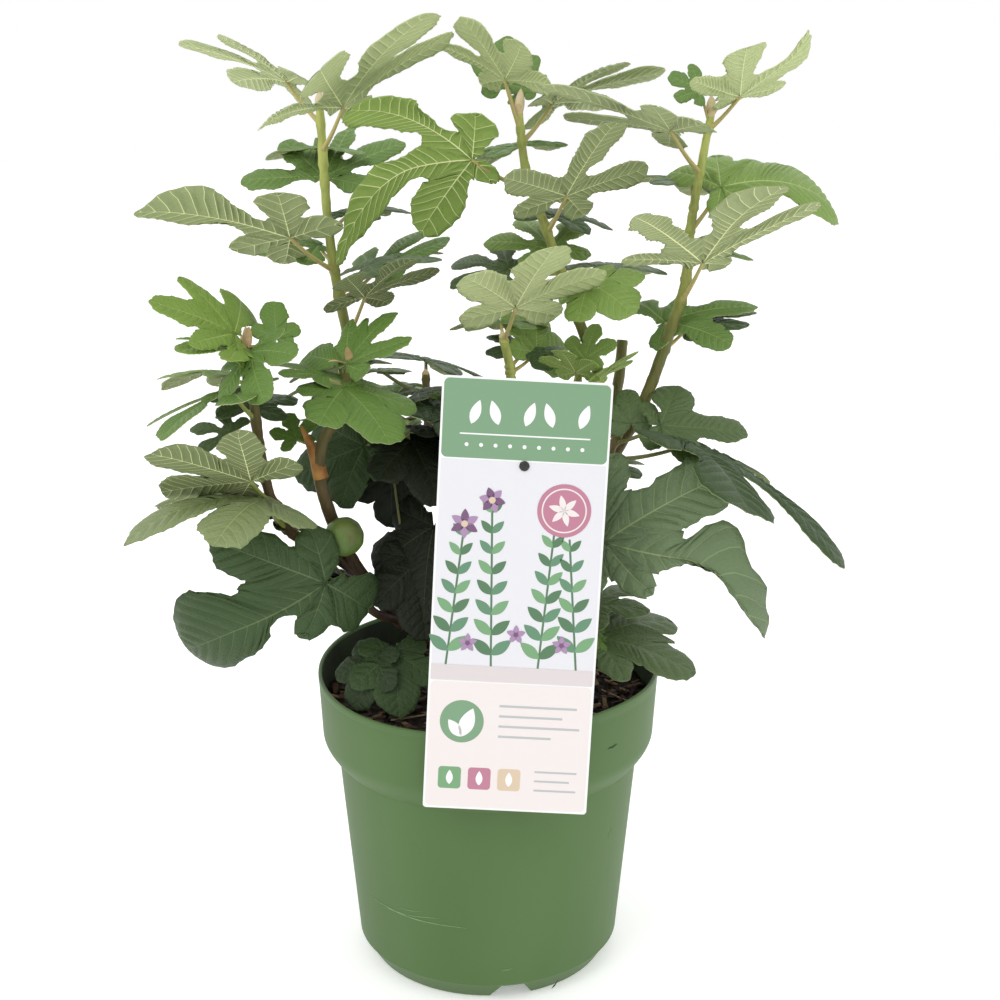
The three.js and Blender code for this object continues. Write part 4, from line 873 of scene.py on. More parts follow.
def flat_leaf(form, veins_along, veins_in_web):
    """The flat leaf as points with how far each is quilted up, how much it is on a rib or vein and how close
    to the margin, and faces with their kinds."""
    lobes, notches, _ = FORMS[form]
    inner_count = max(1, round(sum(notches) / len(notches) * veins_in_web))
    across_count = len(COLUMNS) + 2
    points, relief, faces, kinds = [], [], [], []
    for index in range(len(lobes)):
        length = lobe_values(form, index)[1]
        margins = [Margin(form, index, side) for side in (-1, 1)]
        free = length
        for margin in margins:
            free -= margin.reach / 2
        outer_count = max(2, round(free * veins_along))
        rows = side_rows("neck", inner_count, 1) + [("neck", 1.0, 0.0, 0.5, False)]
        rows += side_rows("margin", outer_count, 2)
        rows += [("margin", 1 - down / outer_count, 0.0, 0.5, False) for down in TIP_ROWS]
        rows += [("margin", 1.0, 0.0, 0.0, False)]
        outlines = [(margin, [margin.spot(*row[:4]) for row in rows]) for margin in margins]
        feet = rib_feet(rows, outlines, length)
        for margin, spots in outlines:
            base = len(points)
            mine = [np.zeros(2)] * across_count
            relief += [(0.0, 1.0, 0.0)] * across_count
            for (part, place, pair, phase, _), start, spot in zip(rows, feet, spots):
                foot = margin.axis * length * start
                gap = max(np.linalg.norm(spot - foot), 1e-6)
                rib = min(RIB_HALF_WIDTH * length**0.5 * (1 - 0.85 * start) / gap, 0.1)
                arch = -margin.axis * gap * 0.1
                fade = min(1.0, (1 - place) * 4) if part == "margin" else 1.0
                between = math.sin(math.pi * phase) if phase else 0.0
                for t in [0.0, rib, *COLUMNS]:
                    mine.append(foot + (spot - foot) * t + arch * t * (1 - t))
                    up = between * math.sin(math.pi * min(1, t * 1.05)) ** 0.7 if t > rib else 0.0
                    on_vein = 0.8 * (1 - 0.7 * t) if pair else 0.0
                    on_rib = 1.0 - 0.5 * start if t <= rib else 0.0
                    edge = max(t, start**6) if part == "margin" else t * place * 0.5
                    relief.append((up * fade, max(on_vein, on_rib) * fade, edge))
            points += list(swung(form, index, np.array(mine)))
            for i, row in enumerate(rows):
                after_vein = i > 0 and rows[i - 1][4] and (row[0] == "margin" or row[1] > 0.4)
                for j in range(across_count - 1):
                    a = base + i * across_count + j
                    b = a + across_count
                    faces.append([a, a + 1, b + 1, b] if margin.side > 0 else [b, b + 1, a + 1, a])
                    kinds.append(RIB if j == 0 else VEIN if after_vein else BLADE)
    return np.array(points), np.array(relief), faces, kinds


class LeafForm:
    """One form's flat welded triangles with their kinds and its margin's edges, ready to be bent into any
    leaf."""

    def __init__(self, form, shown):
        points, relief, faces, face_kinds = flat_leaf(form, *VEINS[shown])
        _, first, same = np.unique(
            np.round(points * WELD).astype(int), axis=0, return_index=True, return_inverse=True
        )
        self.flat = points[first]
        self.quilt, self.ridge, self.edge = relief[first].T
        triangles, kinds = [], []
        for face, kind in zip(same.ravel()[np.array(faces)].tolist(), face_kinds):
            # A face that the weld has folded loses its doubled corner.
            corners = [c for i, c in enumerate(face) if c != face[i - 1]]
            if len(set(corners)) == len(corners):
                for i in range(2, len(corners)):
                    triangles.append([corners[0], corners[i - 1], corners[i]])
                    kinds.append(kind)
        triangles, kinds = np.array(triangles), np.array(kinds)
        a, b, c = (self.flat[triangles[:, i]] for i in range(3))
        area = (b[:, 0] - a[:, 0]) * (c[:, 1] - a[:, 1]) - (b[:, 1] - a[:, 1]) * (c[:, 0] - a[:, 0])
        triangles[area < 0] = triangles[area < 0][:, ::-1]
        keep = np.abs(area) > 1e-10
        self.triangles, self.kinds = triangles[keep], kinds[keep]
        edges = np.concatenate([self.triangles[:, [i, (i + 1) % 3]] for i in range(3)])
        directed = dict.fromkeys(map(tuple, edges.tolist()))
        self.border = np.array([(p, q) for p, q in directed if (q, p) not in directed])


LEAF_FORMS = {(form, shown): LeafForm(form, shown) for form in FORMS for shown in (True, False)}


def bent(flat, length, droop):
    """Flat places in lengths of the leaf, on the bent blade, as the CAD source bends them."""
    x, y = flat[:, 0] * length, flat[:, 1] * length
    bend = math.radians(droop) / length
    turn = bend * np.hypot(x, y)
    small = np.abs(turn) < 1e-6
    safe = np.where(small, 1, turn)
    share = np.where(small, 1, np.sin(safe) / safe)
    drop = np.where(small, 0, (1 - np.cos(turn)) / (bend or 1))
    return np.stack([x * share, y * share, CUP * np.abs(x) - drop], -1)


def blade_axes(row):
    """The axes right, along and up of a blade."""
    along = direction(row["aim"], row["pitch"])
    level = to_unit(np.cross(along, [0, 0, 1.0]))
    up = np.cross(level, along)
    r = math.radians(row["roll"])
    return np.stack([math.cos(r) * level + math.sin(r) * up, along, -math.sin(r) * level + math.cos(r) * up])


LEAF_SHELL = 0.45  # millimetres
MARGIN_WAVES = ((17, 0.015), (33, 0.008), (55, 0.003))  # turns to a leaf's length, and how far they go
# How far the blade is quilted, its veins are sunk on top and stand out below, in lengths of the leaf.
BULGE, GROOVE, RIDGE = 0.016, 0.0015, 0.006


def leaf_mesh(row, junction, random):
    """A leaf's points, triangles and kinds: 0 to 2 are the top's, and 3 to 5 the underside's."""
    form = LEAF_FORMS[row["form"], row["shown"]]
    length = row["length"]
    radius = np.hypot(*form.flat.T)
    heading = np.arctan2(*form.flat.T)
    phase = random.uniform(0, 2 * math.pi, 6)
    # No two leaves of a form are alike: the lobes sway, and the margin wanders in the flat.
    sway = 0.03 * np.sin(2.2 * heading + phase[0]) + 0.02 * np.sin(5 * heading + phase[1])
    heading = heading + sway * radius * np.clip(3 - np.abs(heading), 0, 1)
    flat = np.stack([np.sin(heading) * radius, np.cos(heading) * radius], -1)
    for waves, reach in MARGIN_WAVES:
        turns = random.uniform(0, 2 * math.pi, 4)
        way = np.array([[math.cos(turns[0]), math.sin(turns[0])], [-math.sin(turns[0]), math.cos(turns[0])]])
        flat = flat + np.sin(flat @ way * waves + turns[1:3]) * (reach * form.edge**2)[:, None]
    middle = bent(flat, length, row["droop"])
    # The bent blade waves up and down, the more the closer to its margin.
    wave = np.sin(5 * heading + phase[2]) * 0.016 + np.sin(9 * heading + phase[3] + 3 * radius) * 0.009
    wave += np.sin(14 * radius + phase[4]) * 0.004
    middle[:, 2] += wave * length * form.edge * radius
    a, b, c = (middle[form.triangles[:, i]] for i in range(3))
    face_normals = np.cross(b - a, c - a)
    normals = np.zeros_like(middle)
    for i in range(3):
        np.add.at(normals, form.triangles[:, i], face_normals)
    normals /= np.maximum(np.linalg.norm(normals, axis=1), 1e-12)[:, None]
    bulge = length * (BULGE * form.quilt)
    groove, ridge = length * (GROOVE * form.ridge), length * (RIDGE * form.ridge)
    top = middle + normals * (LEAF_SHELL / 2 + bulge - groove)[:, None]
    under = middle - normals * (LEAF_SHELL / 2 - bulge + ridge)[:, None]
    points = np.concatenate([top, under]) @ blade_axes(row) + junction
    count = len(middle)
    p, q = form.border.T
    strip = np.concatenate([np.stack([q, p, p + count], -1), np.stack([q, p + count, q + count], -1)])
    triangles = np.concatenate([form.triangles, form.triangles[:, ::-1] + count, strip])
    kinds = np.concatenate([form.kinds, form.kinds + 3, np.full(len(strip), 3)])
    return points, triangles, kinds


# ---- Which leaves there are ----

GOLDEN_TURN = 137.5
TOUCH = 0.25  # how close a leaf's tip lies to a corner of the CAD mass that holds it


def seeded(seed):
    """The CAD source's own random numbers from 0 to 1."""
    state = [seed]

    def draw():
        state[0] = (state[0] * 1664525 + 1013904223) % 2**32
        return state[0] / 2**32

    return draw


def rows_of(mass):
    _, seed, _, shown, (count, low, high, start, end, short, long) = mass
    rows = [dict(zip(LEAF_COLUMNS, row), shown=True) for row in shown]
    draw = seeded(seed)

    def between(a, b):
        return a + (b - a) * draw()

    for i in range(count):
        turn = start + (end - start) * (i * GOLDEN_TURN / 360 % 1)
        reach = between(short, long)
        row = dict(form="deep" if draw() < 0.6 else "mid", height=low + (high - low) * (i + 0.5) / count)
        row.update(turn=turn, rise=between(15, 40), stalk=reach * between(0.35, 0.55))
        row.update(aim=turn + between(-20, 20), pitch=between(-5, 25), roll=between(-15, 15))
        row.update(length=reach, droop=between(25, 45), shown=False)
        rows.append(row)
    return rows


def corners_of(node):
    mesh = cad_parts[node].data
    flat = np.empty(len(mesh.vertices) * 3)
    mesh.vertices.foreach_get("co", flat)
    return flat.reshape(-1, 3) / MM - SHIFT


def is_there(row, junction, corners):
    """True if the CAD mass holds this leaf: the rule leaves out those that would touch something."""
    form = row["form"]
    tips = []
    for index in range(len(FORMS[form][0])):
        angle, length = lobe_values(form, index)[:2]
        tips.append(swung(form, index, unit(angle)[None] * length)[0])
    tips = bent(np.array(tips), row["length"], row["droop"]) @ blade_axes(row) + junction
    return any(np.min(np.linalg.norm(corners - tip, axis=1)) < TOUCH for tip in tips)


# ---- Leaves, stalks and twigs ----

# The tones of the leaves placed one by one, top/underside, and those that the rest of a mass take in turn.
# The leaves inside and under the plant take the tones painted as shade.
DEALS = {
    "left_top": "grey/pale smooth/smooth leaf/dull grey/dull leaf/dull leaf/dull grey/shade",
    "centre_top": "soft/pale leaf/lit grey/cool grey/dull fresh/dull dark/dull fresh/dull",
    "right_top": "soft/pale leaf/cool fresh/dull grey/dull leaf/dull",
    "centre_low": "grey/pale fresh/dull",
    "centre_side": "fresh/lit fresh/lit fresh/lit",
    "left_crown": "grass/dull grass/dull grass/dull",
    "left_front": "spring/lit spring/lit grass/dull grass/lit grass/dull dark/shade soft/shade",
    "low_left": "dim/shade",
    "inner_left": "shadow/gloom moss/gloom dim/gloom",
    "inner_low": "shadow/gloom shadow/gloom",
    "foot_front": "moss/gloom dim/gloom shadow/gloom shadow/gloom",
    "right_low": "dark/shade dim/shade grey/shade dark/shade",
    "foot_right": "dark/shade",
}
# The rest of a dark mass take the tones painted as shade.
REST = {
    "dark": ["shadow/gloom", "moss/shade", "shadow/gloom"],
    "mid": ["deep/shade", "leaf/dull", "dark/shade"],
    "soft": ["leaf/dull", "grey/dull", "deep/shade"],
    "bright": ["fresh/dull", "leaf/shade", "deep/shade"],
}
STALK_TONES = {"dark": "dull", "mid": "dull", "soft": "warm", "bright": "green"}
# Young leaves at the shoots' tips and ones inside painted dark as shade: their tone, form, place along the
# limb and where the blade starts, then as the others' columns from the aim on.
MORE = {
    "centre_top": [
        ("leaf/lit", "mid", 0.95, (12, 33, 551), 96, 70, 10, 31, 8),
        ("leaf/lit", "mid", 0.95, (22, 31, 545), 62, 52, 16, 22, 12),
    ],
    "right_top": [("leaf/lit", "mid", 0.95, (127, 14, 547), 176, 26, 60, 21, 10)],
    "left_crown": [("grass/dull", "mid", 0.7, (-112, -40, 346), 118, 46, 20, 21, 10)],
    "left_front": [("dark/shade", "deep", 0.6, (-146, -60, 355), 168, 6, 34, 27, 16)],
    "low_left": [("dim/shade", "mid", 0.8, (-117, -38, 297), -150, 24, 20, 26, 14)],
    "inner_low": [
        ("shadow/gloom", "broad", 0.97, (-59, 2, 318), -98, -66, 6, 36, 24),
        ("shadow/gloom", "broad", 0.97, (-50, 0, 268), -84, -62, -10, 34, 24),
    ],
}
STALK_SIDES, YOUNG_STALK = 8, 0.8
# A stalk's radius, how much it thins and flares, how far it sags for its length, and how far its end sinks
# under the blade.
STALK_RADIUS, STALK_THINS, STALK_FLARES, STALK_SAG, STALK_SINKS = 1.5, 0.45, 0.9, 0.05, 0.6


class Mass:
    """The blades and stalks of one mass of leaves, with the tones that they use."""

    def __init__(self, seed):
        self.random = np.random.default_rng(seed)
        self.blades, self.stalks, self.used, self.materials = Heap(), Heap(), {}, []

    def blade(self, row, junction, deal):
        points, triangles, kinds = leaf_mesh(row, junction, self.random)
        if deal not in self.used:
            self.used[deal] = len(self.materials)
            top, under = deal.split("/")
            self.materials += TOPS[top] + UNDERS[under]
        self.blades.add(points, triangles, self.used[deal] + kinds)

    def stalk(self, row, root, junction):
        steps = np.linspace(0, 1, 13)
        line = root + (junction - root) * steps[:, None]
        line[:, 2] -= STALK_SAG * row["stalk"] * 4 * steps * (1 - steps)
        line -= blade_axes(row)[2] * (STALK_SINKS * steps**6)[:, None]
        radius = STALK_RADIUS - STALK_THINS * steps + STALK_FLARES * np.exp(-steps * 9)
        radius *= 0.7 + 0.3 * min(1, row["length"] / 70)
        inward = np.concatenate([[root - (line[1] - line[0]) * 0.2], line])
        self.stalks.add(*tube(inward, np.concatenate([radius[:1], radius]), STALK_SIDES))

    def young_stalk(self, root, junction):
        line = root + (junction - root) * np.linspace(0, 1, 8)[:, None]
        self.stalks.add(*tube(line, np.full(8, YOUNG_STALK), STALK_SIDES))


leaf_sites = {name: [] for name in LIMBS}
for mass_name, mass in MASSES.items():
    limb_name, seed, shade = mass[:3]
    node, path = "leaves_" + mass_name, lines[limb_name]
    corners = corners_of(node)
    shown_tones = DEALS.get(mass_name, "").split()
    made = Mass(seed)
    for number, row in enumerate(rows_of(mass)):
        place = path.place_at_height(row["height"])
        root = path.at(place)
        junction = root + direction(row["turn"], row["rise"]) * row["stalk"]
        if is_there(row, junction, corners):
            leaf_sites[limb_name].append(place)
            made.blade(row, junction, shown_tones[number] if row["shown"] else REST[shade][number % 3])
            made.stalk(row, root, junction)
    for deal, form, place, junction, *turned_to in MORE.get(mass_name, []):
        made.blade(dict(zip(LEAF_COLUMNS[5:], turned_to), form=form, shown=False), junction, deal)
        made.young_stalk(path.at(place), junction)
    made.blades.piece(node + "_blades", made.materials, slot="leaves", replaces=[node])
    made.stalks.piece(node + "_stalks", [STALKS[STALK_TONES[shade]]], slot="leaves")


# ---- Trunk and limbs ----

random = np.random.default_rng(101)
LIMB_SIDES, TRUNK_SIDES = 20, 40
STEP = 2.2
# The swelling where a leaf leaves its limb and the dent below it: a share of the radius and its breadth.
SWELL, SWELL_BREADTH = 0.22, 2.6
DENT, DENT_BREADTH, DENT_BELOW = 0.1, 0.9, 3.4
SCAR, SCAR_BREADTH = 0.09, 1.1
SCAR_STEP, SCAR_STRAY, FIRST_SCAR = 17, 4, 14


def limb_mesh(name, reach, radius_at, sites=(), sides=LIMB_SIDES, rough=0.05):
    """A limb with ridges, a swelling where each leaf leaves it and scars of older leaves."""
    path = lines[name]
    coarse = np.array([path.at(p) for p in np.linspace(0, reach, 60)])
    length = np.linalg.norm(np.diff(coarse, axis=0), axis=1).sum()
    places = np.linspace(0, reach, max(8, int(length / STEP)))
    points = np.array([path.at(p) for p in places])
    base = np.array([radius_at(p) for p in places])
    along = np.linspace(0, length, len(places))
    turns = full_turn(sides)
    phase = random.uniform(0, 6.28, 5)
    ridges = np.sin(3 * turns[None] + phase[0] + 0.05 * along[:, None]) * 0.5
    ridges = ridges + np.sin(7 * turns[None] + phase[1] - 0.09 * along[:, None]) * 0.3
    ridges = ridges + np.sin(0.31 * along[:, None] + phase[2] + turns[None]) * 0.4
    radii = base[:, None] * (1 + rough * ridges) + random.normal(0, 0.012, ridges.shape) * base[:, None]
    for place in sorted({round(s, 4) for s in sites}):
        distance = (places - place) * (length / reach)
        swell = SWELL * np.exp(-(distance / SWELL_BREADTH) ** 2)
        dent = DENT * np.exp(-((distance + DENT_BELOW) / DENT_BREADTH) ** 2)
        radii = radii * (1 + (swell - dent))[:, None]
    for scar in np.arange(FIRST_SCAR, length, SCAR_STEP):
        distance = along - scar - random.uniform(-SCAR_STRAY, SCAR_STRAY)
        if abs(distance).min() < STEP:
            radii = radii * (1 + SCAR * np.exp(-(distance / SCAR_BREADTH) ** 2))[:, None]
    return tube(points, radii, sides)


GREEN_LIMBS = ("centre_low", "centre_side")
# Where along its limb a shoot that stands out ends.
SHOOTS = {"left_tall": 0.985, "centre": 0.965, "right": 0.965, "left_low": 0.99, "left_side": 0.99}
ends = {}
for name in LIMBS:
    # Any other limb ends at its last leaf, or at its tip if it has none.
    sites = leaf_sites[name]
    ends[name] = SHOOTS.get(name, 1.0 if not sites else min(1.0, max(sites) + 0.02))
    points, faces = limb_mesh(name, ends[name], lambda p: limb_radius(name, p), sites)
    kinds = np.zeros(len(faces), int)
    if name == CUT_LIMB:
        kinds[-LIMB_SIDES:] = 1
    heap = Heap()
    heap.add(points, faces, kinds)
    heap.piece(
        "twig_" + name if name in TWIGS else "bough_" + name + "_bark",
        [GREEN_SKIN if name in GREEN_LIMBS else LIMB_SKIN, CUT_END],
        slot="bark",
        replaces=[] if name in TWIGS else ["bough_" + name],
    )


def trunk_radius(place):
    return TRUNK["radius"] + (TRUNK["flare_radius"] - TRUNK["radius"]) * (1 - place) ** 2.2


points, faces = limb_mesh("trunk", 1.0, trunk_radius, sides=TRUNK_SIDES, rough=0.07)
points[:, 2] = np.maximum(points[:, 2], SOIL["height"] - BARK_BURIED)
make_piece("trunk_bark", points, faces, [LIMB_SKIN], slot="bark", replaces=["trunk"])

# ---- Buds, scales and sheaths at the shoots' ends ----

LARGE_BUDS = ("left_tall", "centre", "right")
SMALL_BUDS = ("centre_low", "back_left", "back_right", "right_low", "centre_side")
LARGE_BUD, SMALL_BUD, BUD_SINKS = 10, 5, 1.5  # their lengths, and how far they start inside the shoot
BUD_SIDES, BUD_LEAN, BUD_SWELL = 12, 0.12, 0.35
buds = Heap()
for name in LARGE_BUDS + SMALL_BUDS:
    end = lines[name].at(ends[name])
    way = to_unit(end - lines[name].at(ends[name] - 0.03))
    size = LARGE_BUD if name in LARGE_BUDS else SMALL_BUD
    side = direction(random.uniform(0, 360))
    steps = np.linspace(0, 1, 12)
    line = end - way * BUD_SINKS + way * size * steps[:, None] + side * (BUD_LEAN * size * steps**2)[:, None]
    radius = limb_radius(name, 1.0) * 0.95 * np.sqrt(np.clip(1 - steps**1.6, 0, 1))
    radius *= 1 + BUD_SWELL * np.sin(math.pi * steps)
    buds.add(*tube(line, np.maximum(radius, 0.05), BUD_SIDES))
buds.piece("shoot_buds", [BUD], slot="bark")

SCALE_SIDES, SCALE_STEPS, SCALE_SINKS = 10, 14, 2.0


def scale_leaf(foot, way, side, length, width, curl):
    """A thin curled scale from its foot: how it sets out, which way its breadth lies and how far it curls."""
    way = to_unit(way)
    side = to_unit(side - way * (side @ way))
    out = np.cross(side, way)
    turns = full_turn(SCALE_SIDES)
    grid, place = [], foot
    for i in range(SCALE_STEPS + 1):
        t = i / SCALE_STEPS
        bend = math.radians(curl) * t
        ahead = math.cos(bend) * way + math.sin(bend) * out
        face = math.cos(bend) * out - math.sin(bend) * way
        half = max(width / 2 * math.sin(math.pi * (0.12 + 0.88 * t)) ** 0.7, 0.04)
        thick = max(0.45 * (1 - t), 0.04)
        over = np.sin(turns) * thick - 0.35 * half * np.cos(turns) ** 2
        grid.append(place + side * (np.cos(turns) * half)[:, None] + face * over[:, None])
        place = place + ahead * length / SCALE_STEPS
    return np.concatenate(grid), ring_faces(len(grid), SCALE_SIDES)


STIPULE, DRIED, RUST = 0, 1, 2
# Each scale: its kind, its limb, its heading, how steeply it sets out, its length, width and curl.
SCALES = [
    (STIPULE, "centre", -70, 72, 17, 6.5, -14), (STIPULE, "centre", 120, 60, 12, 5.5, 24),
    (STIPULE, "right", -100, 74, 14, 6, -12), (STIPULE, "right", 40, 56, 10, 5, 26),
    (STIPULE, "left_tall", -80, 70, 14, 6, -12),
    (DRIED, "left_side", -165, 30, 17, 6, 50), (DRIED, "left_side", -35, 34, 15, 5.5, 60),
    (DRIED, "left_side", -110, 62, 14, 5.5, -50), (DRIED, "left_side", -70, 76, 15, 5, 20),
    (DRIED, "left_side", 120, 50, 12, 5, 30),
    (DRIED, "left_low", -150, 42, 15, 6, 50), (DRIED, "left_low", -30, 38, 15, 5.5, 60),
    (DRIED, "left_low", -95, 70, 16, 5, 24), (DRIED, "left_low", 100, 60, 12, 5, 30),
]
scales = Heap()
for kind, name, heading, rise, length, width, curl in SCALES:
    foot = lines[name].at(ends[name]) - np.array([0, 0, SCALE_SINKS])
    way, side = direction(heading, rise), direction(heading + 90)
    scales.add(*scale_leaf(foot, way, side, length, width, curl), kind)
# The sheath of an old shoot, left on the shoulder of the low left bough.
SHEATH_FOOT, SHEATH_TIP = np.array([-97.2, -49.5, 325.0]), np.array([-108.6, -49, 356.8])
steps = np.linspace(0, 1, 14)
sheath_line = SHEATH_FOOT + (SHEATH_TIP - SHEATH_FOOT) * steps[:, None]
sheath_line[:, 0] += 1.6 * np.sin(math.pi * steps)
scales.add(*tube(sheath_line, 4.0 * (1 - steps**1.7) + 0.6, 14), RUST)
scales.piece("shoot_scales", SCALE_SKINS, slot="bark")

# ---- The fig ----

FIG_SIDES = 48
# Places along the fig from its stalk to its eye, and the radius there.
FIG_OUTLINE = [
    (0.05, 0.34), (0.1, 0.5), (0.18, 0.68), (0.28, 0.82), (0.4, 0.93), (0.52, 0.99), (0.64, 1.0),
    (0.76, 0.95), (0.86, 0.84), (0.93, 0.68), (0.97, 0.48), (0.99, 0.26), (0.986, 0.2), (0.996, 0.15),
    (1.0, 0.08), (1.002, 0.005),
]
fig_root = lines["left_low"].at(lines["left_low"].place_at_height(FIG["height"]))
fig_way = direction(FIG["heading"], FIG["rise"])
fig_right = to_unit(np.cross(fig_way, [0, 0, 1.0]))
fig_up = np.cross(fig_right, fig_way)
profile = [(-1.5, 0.19), (0, 0.19), (FIG["stalk"] * 0.6, 0.18), (FIG["stalk"], 0.22)]
profile += [(FIG["stalk"] + FIG["length"] * along, out) for along, out in FIG_OUTLINE]
profile = np.array(profile)
turns = full_turn(FIG_SIDES)
wobble = 1 + 0.012 * np.sin(11 * turns) + 0.01 * np.sin(4 * turns)
radii = profile[:, 1:] * FIG["radius"] * wobble
ring = np.cos(turns)[:, None] * fig_right + np.sin(turns)[:, None] * fig_up
points = (fig_root + fig_way * profile[:, :1])[:, None] + ring[None] * radii[:, :, None]
make_piece("fig_skin", points.reshape(-1, 3), ring_faces(len(profile), FIG_SIDES), [fig_skin.made],
           slot="fruit", replaces=["fig_fruit"])


# ---- The pot ----

POT_SIDES, STEP_ROWS = 168, 12
POT_FLOOR = POT["recess"] + POT["floor"]
SAG, SAG_FROM, SAG_OVER = 0.5, 120, 60  # how far the wall bows in and out at the top, and where that sets in
SAG_RADIUS = 110


def pot_radius(height):
    """The pot's outer radius, before its wall bows."""
    p = POT
    if height >= p["collar_foot"]:
        up = (height - p["collar_foot"]) / (p["rim_height"] - p["collar_foot"])
        return p["collar_foot_radius"] + (p["rim_radius"] - p["collar_foot_radius"]) * up
    if height >= p["step_height"]:
        up = (height - p["step_height"]) / (p["collar_foot"] - p["step_height"])
        return p["step_radius"] + (p["collar_foot_radius"] - p["step_radius"]) * math.sin(up * math.pi / 2)
    return p["foot_radius"] + (p["step_radius"] - p["foot_radius"]) * height / p["step_height"]


def rim_lift(x, y, z):
    """How far the warped rim lifts a place on the collar."""
    share = np.clip((z - POT["collar_foot"]) / (POT["rim_height"] - POT["collar_foot"]), 0, 1)
    turn = np.arctan2(y, x) - math.radians(POT["rim_warp_heading"])
    return (POT["rim_rise"] * y - POT["rim_warp"] * np.cos(2 * turn)) * share


def wall_stretch(heading, height):
    """How the wall's slight bows stretch the pot at a heading in radians."""
    return 1 + SAG * np.sin(3 * heading + 1) * np.clip((height - SAG_FROM) / SAG_OVER, 0, 1) / SAG_RADIUS


def around(rows):
    """Points of the pot's profile from rows of height, how far out of the wall and how far up."""
    return [(pot_radius(h) + out, h + up) for h, out, up in rows]


band, ring = POT["band_height"], POT["band_foot_radius"]
inner_ring = ring - POT["foot_ring"]
profile = [(0, POT["recess"]), (40, POT["recess"]), (inner_ring + 6, POT["recess"]), (inner_ring + 0.4, 0.6),
           (inner_ring + 1, 0), (ring - 0.8, 0), (ring + 0.1, 0.7)]
profile += around([(band, -1.2, -0.6), (band, -0.5, 0), (band, 0.1, 0.7)])
profile += around((h, 0, 0) for h in (band + 3, 40, 70, 100, POT["step_height"] - 2))
profile += around((h, 0, 0) for h in np.linspace(POT["step_height"], POT["collar_foot"], STEP_ROWS))
profile += around((h, 0, 0) for h in (156, 165, 175, 184))
profile += [
    (POT["rim_radius"] - inward, POT["rim_height"] - down)
    for inward, down in ((0.5, 5), (0.1, 4.4), (0, 2), (0.1, 0.7), (0.8, 0), (1.7, 0), (2.3, 0.6), (2.5, 2))
]
profile += around((h, -POT["wall"], 0) for h in (184, 175, 160, 152, 143, 134, 60, POT_FLOOR))
profile += [(0, POT_FLOOR)]
points, faces = turned(profile, POT_SIDES)
points[:, 2] += rim_lift(*points.T)
points[:, :2] *= wall_stretch(np.arctan2(points[:, 1], points[:, 0]), points[:, 2])[:, None]
pot_piece = make_piece(
    "pot_shell", points, faces, [POT_PLASTIC, POT_INNER_PAINTED_SHADE], slot="pot_plastic", replaces=["pot"]
)

DRAIN_REACH = (57, 95)  # a drain's cutter, from and to these distances from the axis
cutters = []
for i in range(POT["drains"]):
    heading = POT["drain_heading"] + 360 * i / POT["drains"]
    out, side = direction(heading), direction(heading + 90)
    wide, narrow, top = POT["drain_width"] / 2, POT["drain_top_width"] / 2, POT["drain_height"]
    slope = (wide - narrow) / top
    section = [(-wide - slope, -1), (wide + slope, -1), (narrow, top), (-narrow, top)]
    corners = [out * r + side * s + np.array([0, 0, z]) for r in DRAIN_REACH for s, z in section]
    mesh = bpy.data.meshes.new("drain_cutter")
    mesh.from_pydata(((np.array(corners) + SHIFT) * MM).tolist(), [], BOX_FACES.tolist())
    shape = bmesh.new()
    shape.from_mesh(mesh)
    bmesh.ops.recalc_face_normals(shape, faces=shape.faces)
    shape.to_mesh(mesh)
    shape.free()
    cutter = placed("drain_cutter", mesh)
    cut = pot_piece.modifiers.new("drain", "BOOLEAN")
    cut.operation, cut.solver, cut.object = "DIFFERENCE", "EXACT", cutter
    cutters.append(cutter)
cut_mesh = bpy.data.meshes.new_from_object(pot_piece.evaluated_get(bpy.context.evaluated_depsgraph_get()))
pot_piece.modifiers.clear()
pot_piece.data = cut_mesh
for cutter in cutters:
    bpy.data.objects.remove(cutter)
# Faces inside the wall, from over the band to under the rim, take the dark inner material as painted shade.
for face in cut_mesh.polygons:
    x, y, z = np.array(face.center) / MM - SHIFT
    inside = np.hypot(x, y) < pot_radius(z) - POT["wall"] * 0.7
    face.material_index = int(inside and band + 2 < z < POT["rim_height"] - 3 + rim_lift(x, y, z))
cut_mesh.polygons.foreach_set("use_smooth", np.full(len(cut_mesh.polygons), True))
cut_mesh.set_sharp_from_angle(angle=math.radians(35))

# Scratches and scuffs on the wall: each from one heading and height to another, its width and its kind.
PALE, DARK = 0, 1
SCUFFS = [
    (-146, 54, -98, 53.5, 0.7, PALE), (-139, 52, -108, 58, 0.5, PALE),
    (-128, 57.5, -116, 60, 0.4, PALE), (-47.5, 166.4, -43, 167, 1.1, DARK),
    (-61.5, 3.5, -58.5, 8, 1.6, DARK), (-84, 23, -79, 24.5, 0.5, PALE),
    (-36, 96, -33.5, 103, 0.5, PALE), (-118, 108, -116, 101, 0.4, PALE),
]
SCUFF_LIFT, SCUFF_DEPTH, SCUFF_WAVER, SCUFF_ROWS = 0.1, 0.1, 0.25, 24
scuffs = Heap()
for from_heading, from_height, to_heading, to_height, width, kind in SCUFFS:
    grid = []
    for t in np.linspace(0, 1, SCUFF_ROWS):
        heading = from_heading + (to_heading - from_heading) * t
        height = from_height + (to_height - from_height) * t + SCUFF_WAVER * math.sin(9 * t)
        half = max(width / 2 * math.sin(math.pi * min(max(t, 0.03), 0.97)) ** 0.5, 0.05)
        for up, out in ((-half, 0), (half, 0), (half, SCUFF_DEPTH), (-half, SCUFF_DEPTH)):
            stretch = wall_stretch(math.radians(heading), height)
            spot = direction(heading) * (pot_radius(height + up) * stretch + SCUFF_LIFT + out)
            spot[2] = height + up
            spot[2] += rim_lift(*spot)
            grid.append(spot)
    last = len(grid) - 1
    ends_closed = [[0, 1, 2, 3], [last, last - 1, last - 2, last - 3]]
    scuffs.add(grid, np.concatenate([ring_faces(SCUFF_ROWS, 4), ends_closed]), kind)
scuffs.piece("pot_scuffs", SCUFF_SKINS, slot="pot_plastic")

# ---- The soil ----

